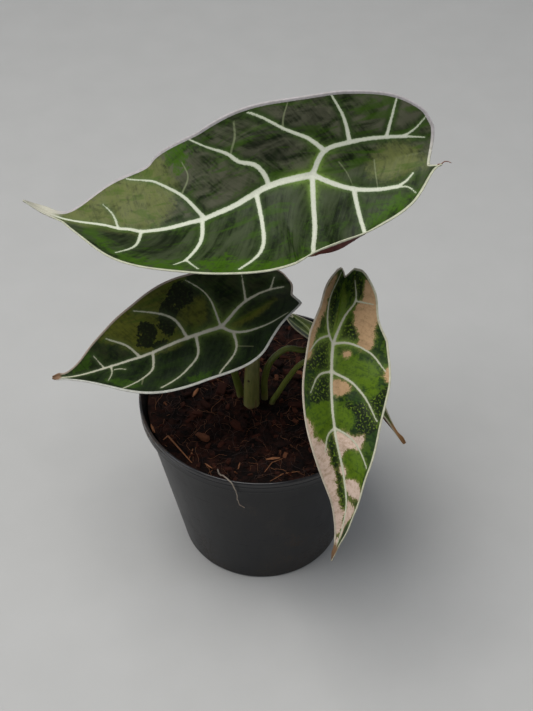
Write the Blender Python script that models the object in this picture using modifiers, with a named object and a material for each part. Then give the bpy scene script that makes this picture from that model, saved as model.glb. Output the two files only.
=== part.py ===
"""A potted alocasia: four shield-shaped leaves on their own stalks, in a round tapered pot of bark mix.

Lengths below are in millimetres and are scaled to metres where objects are made. +Z is up, the front
is towards -Y, and the origin is the middle of the pot's foot, on the surface it stands on.

A blade is described flat first: x runs along the midrib from the stalk (0) to the drip tip, negative
towards the two back lobes, and a runs across it, positive on the left as seen from above with the tip
ahead. The flat blade is then carried along a midrib curve in space and folded up on both sides of it.
"""

import math
import random

import bmesh
import bpy
import numpy as np

MM = 0.001
GAP = 0.3

# Pot
POT_HEIGHT = 95.0
POT_FOOT_RADIUS = 41.0
POT_TOP_RADIUS = 57.6
POT_WALL = 1.1
RIM_RADIUS = 60.0
RIM_HEIGHT = 7.0
RIM_THICKNESS = 1.4
FOOT_RING_INNER = 37.0
FOOT_PAD_RADIUS = 18.5
FLOOR_THICKNESS = 1.2
UNDERSIDE_RECESS = 1.5
DRAIN_RADIUS = 3.2
DRAIN_CIRCLE = 27.5
DRAIN_COUNT = 8
TURN_STEPS = 48

# Bark mix
SOIL_TOP = 89.0
SOIL_TOP_RADIUS = 56.0
SOIL_RINGS = 14
SOIL_STEPS = 48
CHIP_COUNT = 30
CHIP_SEED = 7
CHIP_LENGTH = (4.0, 9.0)
CHIP_WIDTH = (2.5, 4.5)
CHIP_HEIGHT = (2.2, 3.4)
CHIPS_FROM_STALKS = 17.0
CHIPS_FROM_WALL = 2.0

# Rootstock, buried in the mix, which the four stalks grow from
ROOTSTOCK_X = -2.6
ROOTSTOCK_TOP = 78.0
ROOTSTOCK_PROFILE = [(11.6, 78.0), (13.4, 75.5), (14.0, 68.0), (12.5, 58.0), (8.0, 50.5)]
ROOTSTOCK_BOTTOM = 48.0
ROOTSTOCK_STEPS = 32
HOLE_CLEARANCE = 0.7

# A thin dry root that hangs over the front of the rim
STRAY_ROOT_RADIUS = 0.45
STRAY_ROOT_POINTS = 24
STRAY_ROOT = [
    (-20.5, -46.5, 91.6), (-19.4, -49.5, 92.0), (-18.2, -52.5, 93.6), (-16.8, -55.0, 95.9), (-15.4, -57.0, 96.4),
    (-14.2, -58.7, 95.6), (-13.2, -59.6, 92.6), (-12.2, -60.0, 89.6), (-10.8, -60.3, 84.0), (-9.3, -60.6, 81.0),
    (-7.5, -60.8, 79.2),
]

# Where a blade's half widths are given, as shares of the lobe's length (negative) or the front's (positive)
WIDTH_AT = np.array([-1.00, -0.93, -0.70, -0.35, 0.0, 0.25, 0.50, 0.70, 0.85, 0.94, 1.0])
# Where its angles are given, in the same shares
ANGLE_AT = np.array([-1.0, -0.5, 0.0, 0.35, 0.7, 1.0])
BLADE_THICKNESS = 0.8
VEIN_SINK = 0.8
VEIN_REACH = 3.2
RIPPLE = 0.7
RIPPLE_LENGTH = 34.0
KEEL_SPREAD = 2.6
KNOT_SPREAD = 3.0
RIB_HEIGHT = 0.5
RIB_SPREAD = 2.5
STALK_POINTS = 22
# How many of the 600 samples of a midrib its direction is averaged over
HEADING_BLUR = 61

# midrib: points in space from the notch to the drip tip; junction: which of them the stalk meets
# lobe: length of the back lobes; left, right: half widths; roll: turn about the midrib, in degrees
# fold_left, fold_right: how far each half folds up; cup_left: extra upward curl of the left margin
# notch_aside: how far the notch lies to the left of the midrib's line
# keel: thickness at the midrib; veins: flat (x, a) points of each side vein
# stalk: points from the rootstock to below the blade; stalk_radius: at its foot and at the blade
LEAVES = {
    "large": dict(
        midrib=[(70, 8, 232), (46, 4, 229), (22, 0, 226), (3, -3, 222), (-12, -8, 215), (-28, -11.5, 210),
                (-47, -13, 206), (-68, -9, 206), (-87, -4, 206), (-103, 4, 209)],
        junction=2, lobe=54, notch_aside=6.5, rows=40, columns=20, keel=2.6,
        left=[8.5, 10.5, 23.3, 30, 35, 40, 33, 23, 9.5, 2.6, 0.7],
        right=[10.5, 18.7, 27.2, 31.8, 33, 34.5, 33, 24.5, 7.5, 2.6, 0.7],
        roll=[-47, -48, -45, -28, -13, 10],
        fold_left=[28, 15, 8, 24, 32, 45], fold_right=[15, 17, 18, 17, 9, 0], cup_left=[37, 25, 16, 15, 5, 0],
        veins=[
            [(0, 0), (-7, -9), (-18, -11), (-33, -11), (-50, -15)], [(-18, -11), (-17, -21), (-13, -32)],
            [(-34, -11), (-37, -20), (-39, -28)], [(-7, -9), (-2, -15), (8, -22), (17, -31)],
            [(19, 0), (21, -11), (27, -20), (44, -34)], [(51, 0), (58, -14), (70, -22), (92, -24)],
            [(88, 0), (92, -6), (98, -11)], [(0, 0), (-7, 5), (-17, 10), (-34, 13), (-42, 14)],
            [(-16, 10), (-16, 21), (-16, 29)], [(0, 0), (2, 13), (3, 24), (7, 35)],
            [(27, 0), (30, 14), (36, 27), (43, 36)], [(52, 0), (54, 13), (60, 25)],
            [(78, 0), (78, 12), (83, 22)]],
        stalk=[(-5, -2, 78.4), (-5, -2, 89), (-4.6, -0.5, 108), (-3.5, 5, 130), (-1, 12, 155), (5, 15, 180),
               (14, 13, 206)],
        stalk_radius=(4.3, 2.2), run_in=8),
    "left": dict(
        midrib=[(14, -8, 165), (-3, -13, 160), (-18, -18, 155), (-33, -21, 151), (-50, -26, 146), (-69, -30, 141),
                (-85, -33, 138), (-94, -33, 137)],
        junction=2, lobe=37, notch_aside=0, rows=30, columns=14, keel=2.2,
        left=[9, 11, 15.5, 23.5, 25, 24.5, 22.5, 15, 6.5, 2, 0.6],
        right=[6.5, 14, 20, 23.5, 26.5, 26.5, 21.5, 13.5, 5.5, 1.8, 0.6],
        roll=[-14, -22, -31, -33, -24, -12],
        fold_left=[27, 24, 21, 24, 39, 55], fold_right=[1, 8, 16, 25, 34, 43], cup_left=[0, 0, 0, 0, 0, 0],
        veins=[
            [(0, 0), (-15, -6), (-27, -7), (-33, -6)], [(0, 0), (-4, 5), (-19, 11), (-30, 11)],
            [(0, 0), (1, -16), (9, -25)], [(16, 0), (19, -11), (26, -17), (34, -21)],
            [(39, 0), (43, -7), (51, -13)], [(12, 0), (14, 11), (22, 16), (34, 21)],
            [(33, 0), (36, 10), (40, 13), (49, 18)], [(-4, 6), (-3, 13), (6, 24)]],
        stalk=[(-10.3, 3.2, 78.4), (-10.3, 3.2, 89), (-12, 1, 102), (-15, -6, 124), (-17, -11, 139)],
        stalk_radius=(2.2, 1.5), run_in=8),
    "right": dict(
        midrib=[(38, -3, 171), (35, -16, 162), (32, -30, 156), (31, -44, 149), (32, -65, 138), (36, -82, 125),
                (37, -90, 118), (36, -95, 111), (31, -103, 95)],
        junction=2, lobe=35, notch_aside=0, rows=32, columns=14, keel=2.2,
        left=[6.5, 13.5, 19, 20, 25, 27, 20, 11, 7, 2, 0.6],
        right=[4.5, 7.5, 12, 12.5, 14.5, 16, 12.5, 7.5, 3.5, 1.5, 0.6],
        roll=[3, 1, 2, 13, 29, 32],
        fold_left=[49, 27, 15, 20, 35, 38], fold_right=[65, 57, 50, 44, 34, 23], cup_left=[0, 0, 0, 0, 0, 0],
        veins=[
            [(0, 0), (-3, -3), (-20, -8), (-33, -4)], [(0, 0), (-15, 4), (-21, 8), (-30, 7)],
            [(-3, -3), (1, -9), (8, -14)], [(13, 0), (16, -7), (25, -12)], [(39, 0), (42, -4), (49, -7)],
            [(-1, 3), (5, 17), (16, 25)], [(13, 0), (19, 9), (27, 15), (41, 21)], [(39, 0), (44, 6), (59, 14)]],
        stalk=[(5.2, -2, 78.4), (5.2, -2, 89), (8, -4.4, 98), (12.5, -7, 110.5), (18.5, -12, 125.5), (27, -20, 138)],
        stalk_radius=(1.5, 1.2), run_in=8),
    "back": dict(
        midrib=[(15, 14, 132), (21, 9, 129.5), (27, 4, 126), (38, -5.5, 118.5), (50, -18, 110.5), (59, -28, 105),
                (67, -38, 99)],
        junction=2, lobe=19, notch_aside=0, rows=26, columns=12, keel=1.8,
        left=[4, 7, 10, 12, 13, 12, 8, 4, 2, 1.2, 0.8], right=[4, 8, 12, 14, 14, 13, 10.5, 6, 2.5, 1.2, 0.8],
        roll=[-46, -42, -42, -40, -40, -38],
        fold_left=[10, 12, 15, 35, 60, 65], fold_right=[-8, -4, 4, 12, 20, 20], cup_left=[0, 0, 0, 0, 0, 0],
        veins=[
            [(0, 0), (-8, -4), (-16, -5)], [(0, 0), (-8, 4), (-16, 4)], [(0, 0), (3, -7), (8, -12)],
            [(0, 0), (3, 7), (8, 11)], [(15, 0), (19, -6), (25, -10)], [(15, 0), (19, 6), (25, 8)]],
        stalk=[(1.6, 1.4, 78.4), (1.6, 1.4, 89), (1.8, 1.3, 104), (5, 1.8, 114.8), (12, 2.6, 121.5)],
        stalk_radius=(2.0, 1.4), run_in=3),
}


# Formulas

def spline(knots, values, at):
    """Smooth curve through values at rising knots: cubic pieces whose end slopes average their neighbours'."""
    knots = np.asarray(knots, float)
    values = np.asarray(values, float)
    single = values.ndim == 1
    if single:
        values = values[:, None]
    gap = np.diff(knots)[:, None]
    slope = np.diff(values, axis=0) / gap
    inner = (slope[1:] * gap[:-1] + slope[:-1] * gap[1:]) / (gap[1:] + gap[:-1])
    tangent = np.vstack([slope[:1], inner, slope[-1:]])
    at = np.clip(at, knots[0], knots[-1])
    i = np.clip(np.searchsorted(knots, at, side="right") - 1, 0, len(knots) - 2)
    g = gap[i]
    f = ((at - knots[i]) / g[..., 0])[..., None]
    ends = values[i] * (1 + 2 * f) * (1 - f) ** 2 + values[i + 1] * (3 - 2 * f) * f ** 2
    turns = g * tangent[i] * f * (1 - f) ** 2 - g * tangent[i + 1] * (1 - f) * f ** 2
    out = ends + turns
    return out[..., 0] if single else out


def lengths(points):
    """Distance along a row of points, from 0 at the first."""
    return np.concatenate([[0], np.cumsum(np.linalg.norm(np.diff(points, axis=0), axis=1))])


def curve_through(points, count):
    """That many points on the smooth curve through the given ones."""
    points = np.array(points, float)
    far = lengths(points)
    return spline(far, points, np.linspace(0, far[-1], count))


def distance_to(path, x, a):
    """Flat distance of each (x, a) to a vein's path."""
    near = np.full(x.shape, np.inf)
    for (x0, a0), (x1, a1) in zip(path[:-1], path[1:]):
        dx, da = x1 - x0, a1 - a0
        share = np.clip(((x - x0) * dx + (a - a0) * da) / (dx * dx + da * da), 0, 1)
        near = np.minimum(near, np.hypot(x - x0 - share * dx, a - a0 - share * da))
    return near


class Blade:
    """A leaf's blade as a surface: row runs 0 (lobes) to 1 (tip), side runs -1 (right margin) to 1 (left)."""

    def __init__(self, leaf):
        self.leaf = leaf
        points = np.array(leaf["midrib"], float)
        knots = lengths(points)
        fine = np.linspace(0, knots[-1], 600)
        self.line = spline(knots, points, fine)
        run = lengths(self.line)
        self.notch = np.interp(knots[leaf["junction"]], fine, run)
        self.x = run - self.notch
        self.front = self.x[-1]
        blur = np.hanning(HEADING_BLUR)
        heading = np.pad(np.gradient(self.line, self.x, axis=0), ((HEADING_BLUR // 2, HEADING_BLUR // 2), (0, 0)), "edge")
        heading = np.stack([np.convolve(column, blur, "valid") for column in heading.T], -1)
        self.heading = heading / np.linalg.norm(heading, axis=1, keepdims=True)

    def flat(self, row, side):
        """Flat (x, a) of a place on the blade."""
        even = np.linspace(0, 1, len(WIDTH_AT))
        share = spline(even, WIDTH_AT, row)
        left, right = spline(even, self.leaf["left"], row), spline(even, self.leaf["right"], row)
        width = np.where(side >= 0, left, right)
        edge = np.where(share >= 0, share * self.front, share * self.leaf["lobe"])
        middle = np.where(share >= 0, share * self.front, share * self.notch)
        aside = self.leaf["notch_aside"] * np.clip(-share, 0, 1) ** 3 * (1 - np.abs(side))
        return middle + (edge - middle) * np.sin(math.pi / 2 * np.abs(side)) ** 1.3, width * side + aside

    def angle(self, name, x):
        share = np.where(x >= 0, x / self.front, x / self.leaf["lobe"])
        return np.radians(spline(ANGLE_AT, self.leaf[name], share))

    def frame(self, x):
        """Point on the midrib at x, with the directions to the left and up there."""
        point = np.stack([np.interp(x, self.x, self.line[:, k]) for k in range(3)], -1)
        heading = np.stack([np.interp(x, self.x, self.heading[:, k]) for k in range(3)], -1)
        point = point + heading * np.minimum(x - self.x[0], 0)[..., None]
        level = np.cross([0, 0, 1.0], heading)
        level /= np.linalg.norm(level, axis=-1, keepdims=True)
        upright = np.cross(heading, level)
        roll = self.angle("roll", x)[..., None]
        left = level * np.cos(roll) + upright * np.sin(roll)
        up = upright * np.cos(roll) - level * np.sin(roll)
        return point, left, up

    def relief(self, x, a, side):
        """Height over the plain folded surface: sunk side veins and a rippled margin."""
        near = np.min([distance_to(path, x, a) for path in self.leaf["veins"]], axis=0)
        sunk = -VEIN_SINK * np.exp(-(near / VEIN_REACH) ** 2) * np.clip(2 - 2 * np.abs(side), 0, 1)
        size = min(1.0, self.front / 100)
        wave = RIPPLE * size * np.abs(side) ** 4 * np.sin(2 * math.pi * x / RIPPLE_LENGTH + 1.3 * np.sign(a))
        return sunk + wave

    def surface(self, row, side):
        """Points in space of the blade's upper face."""
        x, a = self.flat(row, side)
        point, left, up = self.frame(x)
        fold = np.where(a >= 0, self.angle("fold_left", x), self.angle("fold_right", x))
        cup = np.where(a >= 0, self.angle("cup_left", x), 0)
        steps = (np.arange(16) + 0.5) / 16
        slope = fold[..., None] + cup[..., None] * (steps * np.abs(side)[..., None]) ** 3
        out = a * np.cos(slope).mean(-1)
        rise = np.abs(a) * np.sin(slope).mean(-1) + self.relief(x, a, side)
        return point + left * out[..., None] + up * rise[..., None]

    def rib(self, x, a):
        """Thickness in millimetres: the keel under the midrib, lower ribs under the side veins, plain between."""
        height = self.leaf["keel"] - BLADE_THICKNESS
        along = np.where(x < 0, 0, np.clip(1 - x / self.front, 0, 1) ** 0.7)
        keel = height * along * np.exp(-(a / KEEL_SPREAD) ** 2)
        knot = height * np.exp(-(x * x + a * a) / KNOT_SPREAD ** 2)
        near = np.min([distance_to(path, x, a) for path in self.leaf["veins"]], axis=0)
        ribs = RIB_HEIGHT * np.exp(-(near / RIB_SPREAD) ** 2)
        return BLADE_THICKNESS + np.maximum(np.maximum(keel, knot), ribs)

    def stalk_end(self):
        """The middle of the sunk junction over the stalk, and the blade's upward direction there."""
        point, _, up = self.frame(np.zeros(1))
        return point[0] - up[0] * VEIN_SINK, up[0]


# Building

def clear_scene():
    for obj in list(bpy.data.objects):
        bpy.data.objects.remove(obj)


def new_collection(name):
    collection = bpy.data.collections.new(name)
    bpy.context.scene.collection.children.link(collection)
    return collection


def make_material(name, color, roughness):
    material = bpy.data.materials.new(name)
    material.use_nodes = True
    shader = material.node_tree.nodes["Principled BSDF"]
    shader.inputs["Base Color"].default_value = (*color, 1.0)
    shader.inputs["Roughness"].default_value = roughness
    shader.inputs["Metallic"].default_value = 0.0
    return material


def add_object(name, data, collection, material=None):
    obj = bpy.data.objects.new(name, data)
    collection.objects.link(obj)
    if material:
        data.materials.append(material)
    return obj


def turned(name, profile, collection, steps=TURN_STEPS):
    """A solid of revolution about Z from a profile of (radius, height) points in millimetres."""
    mesh = bpy.data.meshes.new(name)
    points = [(radius * MM, 0.0, height * MM) for radius, height in profile]
    mesh.from_pydata(points, [(i, i + 1) for i in range(len(points) - 1)], [])
    obj = add_object(name, mesh, collection)
    screw = obj.modifiers.new("turn", "SCREW")
    screw.axis = "Z"
    screw.steps = steps
    screw.render_steps = steps
    screw.use_merge_vertices = True
    screw.merge_threshold = 0.00001
    screw.use_normal_calculate = True
    return obj


def baked(obj, name, collection, material=None):
    """A plain mesh object of what the given one evaluates to; the given one is removed."""
    bpy.context.view_layer.update()
    graph = bpy.context.evaluated_depsgraph_get()
    mesh = bpy.data.meshes.new_from_object(obj.evaluated_get(graph))
    builder = bmesh.new()
    builder.from_mesh(mesh)
    bmesh.ops.remove_doubles(builder, verts=builder.verts, dist=0.00001)
    builder.to_mesh(mesh)
    builder.free()
    place = obj.matrix_world.copy()
    bpy.data.objects.remove(obj)
    mesh.materials.clear()
    out = add_object(name, mesh, collection, material)
    out.matrix_world = place
    return out


def cut(obj, cutter, label):
    boolean = obj.modifiers.new(label, "BOOLEAN")
    boolean.operation = "DIFFERENCE"
    boolean.object = cutter


def as_cutter(obj):
    obj.hide_render = True
    obj.display_type = "WIRE"
    return obj


def tube(name, points, radii, collection, material=None, sides=2):
    """A curve with a round section through the points, its caps filled."""
    curve = bpy.data.curves.new(name, "CURVE")
    curve.dimensions = "3D"
    curve.bevel_depth = MM
    curve.bevel_resolution = sides
    curve.use_fill_caps = True
    line = curve.splines.new("POLY")
    line.points.add(len(points) - 1)
    for knot, point, radius in zip(line.points, points, radii):
        knot.co = (*(np.array(point) * MM), 1.0)
        knot.radius = radius
    return add_object(name, curve, collection, material)


def inner_wall(height):
    """Radius of the pot's inner wall at a height."""
    share = height / (POT_HEIGHT - RIM_HEIGHT)
    return POT_FOOT_RADIUS + (POT_TOP_RADIUS - POT_FOOT_RADIUS) * share - POT_WALL


def make_pot(parts, cutters, material):
    """A thin moulded pot: thicker rolled rim, recessed underside between a foot ring and a middle pad."""
    top, under = POT_HEIGHT, POT_HEIGHT - RIM_HEIGHT
    floor = FLOOR_THICKNESS
    raised = floor + UNDERSIDE_RECESS
    pot = turned("pot", [
        (0, floor), (FOOT_PAD_RADIUS - 0.7, floor), (FOOT_PAD_RADIUS + 0.6, raised),
        (FOOT_RING_INNER - 1.6, raised), (FOOT_RING_INNER - 0.3, floor), (inner_wall(floor), floor),
        (inner_wall(under - 1.5), under - 1.5), (RIM_RADIUS - RIM_THICKNESS - 0.9, under + 1.6),
        (RIM_RADIUS - RIM_THICKNESS, top - 1.0), (RIM_RADIUS - 1.1, top), (RIM_RADIUS - 0.5, top),
        (RIM_RADIUS, top - 0.6), (RIM_RADIUS, top - 2.2), (RIM_RADIUS - 0.25, top - 2.5),
        (RIM_RADIUS, top - 2.8), (RIM_RADIUS - 0.2, under + 0.4), (RIM_RADIUS - 0.7, under),
        (POT_TOP_RADIUS + 0.3, under), (POT_TOP_RADIUS, under - 0.4), (POT_FOOT_RADIUS + 0.1, 1.0),
        (POT_FOOT_RADIUS - 0.7, 0), (FOOT_RING_INNER, 0), (FOOT_RING_INNER - 0.9, UNDERSIDE_RECESS),
        (FOOT_PAD_RADIUS + 0.9, UNDERSIDE_RECESS), (FOOT_PAD_RADIUS, 0), (0, 0)], parts)
    pot.data.materials.append(material)
    drill = bmesh.new()
    for i in range(DRAIN_COUNT):
        angle = 2 * math.pi * (i + 0.5) / DRAIN_COUNT
        made = bmesh.ops.create_cone(drill, cap_ends=True, segments=20, radius1=DRAIN_RADIUS * MM,
                                     radius2=DRAIN_RADIUS * MM, depth=10 * MM)
        shift = (DRAIN_CIRCLE * MM * math.cos(angle), DRAIN_CIRCLE * MM * math.sin(angle), 2 * MM)
        bmesh.ops.translate(drill, verts=made["verts"], vec=shift)
    mesh = bpy.data.meshes.new("drain_drill")
    drill.to_mesh(mesh)
    drill.free()
    cut(pot, as_cutter(add_object("drain_drill", mesh, cutters)), "drain holes")
    mesh = pot.data
    mesh.shade_smooth()
    return pot


def rootstock_profile(grow):
    """The rootstock's outline, or its hole's when grown, from the top centre to the bottom centre."""
    top, bottom = ROOTSTOCK_TOP + grow, ROOTSTOCK_BOTTOM - grow
    widest = max(ROOTSTOCK_PROFILE)[1]
    side = [(radius + grow, height + math.copysign(grow, height - widest))
            for radius, height in ROOTSTOCK_PROFILE]
    return [(0, top)] + side + [(0, bottom)]


def stalk_path(leaf):
    """Points of a stalk from the rootstock to just under the blade's keel."""
    point, up = Blade(leaf).stalk_end()
    reach = leaf["keel"] + GAP + 0.15
    ends = [tuple(point - up * (reach + leaf["run_in"])), tuple(point - up * reach)]
    return curve_through(leaf["stalk"] + ends, STALK_POINTS)


def stalk_radii(leaf, path, grow=0.0):
    """The radius along a stalk, which thins quickly out of its sheath and slowly after that."""
    share = lengths(path) / lengths(path)[-1]
    foot, top = leaf["stalk_radius"]
    return top + (foot - top) * (1 - share) ** 1.6 + grow


def soil_relief(x, y):
    """Height of the mix over its mean level: crumbs and hollows, level at the stalks and at the wall."""
    bumps = 0.8 * np.sin(x / 4.1 + 1.1) * np.sin(y / 4.7 - 0.4) + 0.6 * np.sin(x / 2.3 - y / 3.1)
    swell = 0.9 * np.sin(x / 17 + 0.6) * np.cos(y / 15)
    far = np.hypot(x, y) / SOIL_TOP_RADIUS
    from_stalks = np.hypot(x - ROOTSTOCK_X, y) / 14
    return (bumps + swell) * np.clip(1.15 - far ** 6, 0, 1) * np.clip(from_stalks - 0.4, 0, 1)


def make_soil(parts, cutters, material):
    """The bark mix: a plug that fills the pot, crumbs and bark chips on top, and holes for what grows in it."""
    rings = [(SOIL_TOP_RADIUS * i / SOIL_RINGS, SOIL_TOP) for i in range(SOIL_RINGS + 1)]
    low = FLOOR_THICKNESS + GAP
    raised = low + UNDERSIDE_RECESS
    plug = turned("soil_plug", rings + [
        (SOIL_TOP_RADIUS - 0.4, SOIL_TOP - 3.5), (inner_wall(60) - GAP, 60), (inner_wall(low) - GAP, low),
        (FOOT_RING_INNER + 0.2, low), (FOOT_RING_INNER - 1.2, raised), (FOOT_PAD_RADIUS + 0.2, raised),
        (FOOT_PAD_RADIUS - 1.2, low), (0, low)], cutters, steps=SOIL_STEPS)
    soil = baked(plug, "soil", parts, material)
    points = np.empty(len(soil.data.vertices) * 3)
    soil.data.vertices.foreach_get("co", points)
    points = points.reshape(-1, 3)
    top = points[:, 2] > (SOIL_TOP - 0.1) * MM
    points[top, 2] += soil_relief(points[top, 0] / MM, points[top, 1] / MM) * MM
    soil.data.vertices.foreach_set("co", points.ravel())

    draw = random.Random(CHIP_SEED)
    chips = new_collection("chips")
    made = 0
    while made < CHIP_COUNT:
        far, angle = SOIL_TOP_RADIUS * math.sqrt(draw.uniform(0.08, 0.83)), draw.uniform(0, 2 * math.pi)
        x, y = far * math.cos(angle), far * math.sin(angle)
        length, width = draw.uniform(*CHIP_LENGTH), draw.uniform(*CHIP_WIDTH)
        height = draw.uniform(*CHIP_HEIGHT)
        turn = (draw.uniform(-0.3, 0.3), draw.uniform(-0.35, 0.35), draw.uniform(0, math.pi))
        in_stalks = math.hypot(x - ROOTSTOCK_X, y) < CHIPS_FROM_STALKS
        in_wall = far + length / 2 > SOIL_TOP_RADIUS - CHIPS_FROM_WALL
        on_stray_root = abs(x + 19) < 6 and y < -38
        if in_stalks or in_wall or on_stray_root:
            continue
        chip = bmesh.new()
        bmesh.ops.create_cube(chip, size=1.0)
        mesh = bpy.data.meshes.new(f"chip_{made}")
        chip.to_mesh(mesh)
        chip.free()
        obj = add_object(mesh.name, mesh, chips)
        obj.scale = (length * MM, width * MM, height * MM)
        obj.rotation_euler = turn
        level = SOIL_TOP + float(soil_relief(np.array(x), np.array(y)))
        obj.location = (x * MM, y * MM, (level + 0.1) * MM)
        made += 1
    union = soil.modifiers.new("chips", "BOOLEAN")
    union.operation = "UNION"
    union.operand_type = "COLLECTION"
    union.collection = chips
    soil = baked(soil, "soil", parts, material)
    for obj in list(chips.objects):
        bpy.data.objects.remove(obj)
    bpy.data.collections.remove(chips)

    socket = turned("rootstock_hole", rootstock_profile(GAP), cutters, steps=ROOTSTOCK_STEPS)
    socket.location.x = ROOTSTOCK_X * MM
    cut(soil, as_cutter(socket), "rootstock hole")
    for name, leaf in LEAVES.items():
        path = stalk_path(leaf)
        low = path[path[:, 2] < SOIL_TOP + 9]
        low[0, 2] -= 2
        grown = stalk_radii(leaf, path, HOLE_CLEARANCE)[:len(low)]
        hole = baked(tube(f"hole_{name}", low, grown, cutters), f"stalk_hole_{name}", cutters)
        cut(soil, as_cutter(hole), f"hole for {name} stalk")
    return soil


def make_rootstock(parts, material):
    rootstock = turned("rootstock", rootstock_profile(0.0), parts, steps=ROOTSTOCK_STEPS)
    rootstock.location.x = ROOTSTOCK_X * MM
    rootstock.data.materials.append(material)
    rootstock.data.shade_smooth()


def make_blade(name, leaf, parts, material):
    """One leaf's blade: a grid laid on the formula's surface, split into triangles and given its thickness."""
    blade = Blade(leaf)
    builder = bmesh.new()
    bmesh.ops.create_grid(builder, x_segments=leaf["rows"], y_segments=leaf["columns"], size=1.0)
    mesh = bpy.data.meshes.new(name)
    builder.to_mesh(mesh)
    builder.free()
    places = np.empty(len(mesh.vertices) * 3)
    mesh.vertices.foreach_get("co", places)
    places = places.reshape(-1, 3)
    row, side = (places[:, 0] + 1) / 2, np.clip(places[:, 1], -1, 1)
    mesh.vertices.foreach_set("co", (blade.surface(row, side) * MM).ravel())
    obj = add_object(name, mesh, parts, material)

    thickness = blade.rib(*blade.flat(row, side))
    most = float(thickness.max())
    group = obj.vertex_groups.new(name="rib")
    least = BLADE_THICKNESS / most
    for index, value in enumerate(thickness):
        group.add([index], (value / most - least) / (1 - least), "REPLACE")
    split = obj.modifiers.new("triangles", "TRIANGULATE")
    split.quad_method = "SHORTEST_DIAGONAL"
    solid = obj.modifiers.new("thickness", "SOLIDIFY")
    solid.thickness = most * MM
    solid.offset = -1.0
    solid.vertex_group = group.name
    solid.thickness_vertex_group = least
    mesh.shade_smooth()
    return obj


def main():
    clear_scene()
    parts = new_collection("potted_alocasia")
    cutters = new_collection("cutters")
    cutters.hide_render = True

    make_pot(parts, cutters, make_material("pot", (0.012, 0.012, 0.014), 0.42))
    make_soil(parts, cutters, make_material("soil", (0.055, 0.025, 0.016), 0.9))
    make_rootstock(parts, make_material("rootstock", (0.2, 0.12, 0.07), 0.85))
    blade_green = make_material("blade", (0.06, 0.13, 0.03), 0.4)
    mottled_green = make_material("blade_mottled", (0.18, 0.24, 0.08), 0.42)
    stalk_green = make_material("stalk", (0.3, 0.33, 0.1), 0.45)
    for name, leaf in LEAVES.items():
        green = blade_green if name in ("large", "back") else mottled_green
        make_blade(f"leaf_{name}", leaf, parts, green)
        path = stalk_path(leaf)
        thick = name == "large"
        tube(f"stalk_{name}", path, stalk_radii(leaf, path), parts, stalk_green, sides=4 if thick else 2)
    route = curve_through(STRAY_ROOT, STRAY_ROOT_POINTS)
    dry = make_material("stray_root", (0.42, 0.36, 0.28), 0.7)
    tube("stray_root", route, np.full(len(route), STRAY_ROOT_RADIUS), parts, dry, sides=1)


main()
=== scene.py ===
# %% [markdown]
# # A potted alocasia
# The plant is a young alocasia in a thin black nursery pot. Four shield-shaped blades hang from their own
# stalks, and each stalk meets its blade some way in from the edge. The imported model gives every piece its
# place and size. This lesson gives each one its fine surface and its finish, in the same frame: metres, +Z up,
# the front towards -Y. The script starts with the model, because every later piece is laid over it.

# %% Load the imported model
import math
import random

import bpy
import numpy as np
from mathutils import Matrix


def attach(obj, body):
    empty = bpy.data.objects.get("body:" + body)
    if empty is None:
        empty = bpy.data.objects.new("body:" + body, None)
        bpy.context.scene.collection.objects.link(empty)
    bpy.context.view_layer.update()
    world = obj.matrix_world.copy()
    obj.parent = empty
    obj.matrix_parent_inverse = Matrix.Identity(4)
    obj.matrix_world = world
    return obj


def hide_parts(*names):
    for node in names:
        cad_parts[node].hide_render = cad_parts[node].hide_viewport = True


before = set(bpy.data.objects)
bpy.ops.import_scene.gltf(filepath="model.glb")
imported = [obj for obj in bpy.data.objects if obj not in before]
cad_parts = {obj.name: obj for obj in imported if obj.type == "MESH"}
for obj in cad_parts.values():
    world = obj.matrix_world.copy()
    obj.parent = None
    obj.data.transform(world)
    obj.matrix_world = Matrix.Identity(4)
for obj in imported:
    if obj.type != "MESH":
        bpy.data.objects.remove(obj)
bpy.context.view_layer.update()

MM = 0.001

# %% [markdown]
# ## Camera, floor and light
# The plant is looked at from the front and from above, with a long lens, so the pot's rim is a wide ellipse
# and its sides taper a lot. The camera could be aimed at the pot with a constraint, but plain numbers are
# easier to set against a photograph: a place and a downward pitch. The light is one wide soft panel overhead,
# which leaves the lower leaves in the shade of the big one, with a weaker panel on each side. The plain
# display transform shows each colour as it is worked out, which keeps the deep greens deep.

# %% Camera
CAMERA_PLACE = (0.0025, -0.477, 0.577)
CAMERA_PITCH = 43.8
CAMERA_LENS = 70.0
CAMERA_SENSOR = 36.0
IMAGE_SIZE = (533, 711)

camera_data = bpy.data.cameras.new("camera")
camera_data.lens = CAMERA_LENS
camera_data.sensor_width = CAMERA_SENSOR
camera_data.clip_start = 0.01
camera = bpy.data.objects.new("camera", camera_data)
camera.location = CAMERA_PLACE
camera.rotation_euler = (math.radians(90 - CAMERA_PITCH), 0, 0)
bpy.context.scene.collection.objects.link(camera)
bpy.context.scene.camera = camera
bpy.context.scene.view_settings.view_transform = "Standard"


def on_level(pixel, height):
    """The point in millimetres where the sight line through a pixel meets the level plane at a height."""
    focal = CAMERA_LENS / CAMERA_SENSOR * IMAGE_SIZE[1]
    right, down = (pixel[0] - IMAGE_SIZE[0] / 2) / focal, (pixel[1] - IMAGE_SIZE[1] / 2) / focal
    cos, sin = math.cos(math.radians(CAMERA_PITCH)), math.sin(math.radians(CAMERA_PITCH))
    sight = np.array([right, cos - down * sin, -sin - down * cos])
    place = np.array(CAMERA_PLACE) / MM
    return place + sight * (height - place[2]) / sight[2]


print("the rim's front is at", on_level((253, 484.5), 95).round(1))

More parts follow.
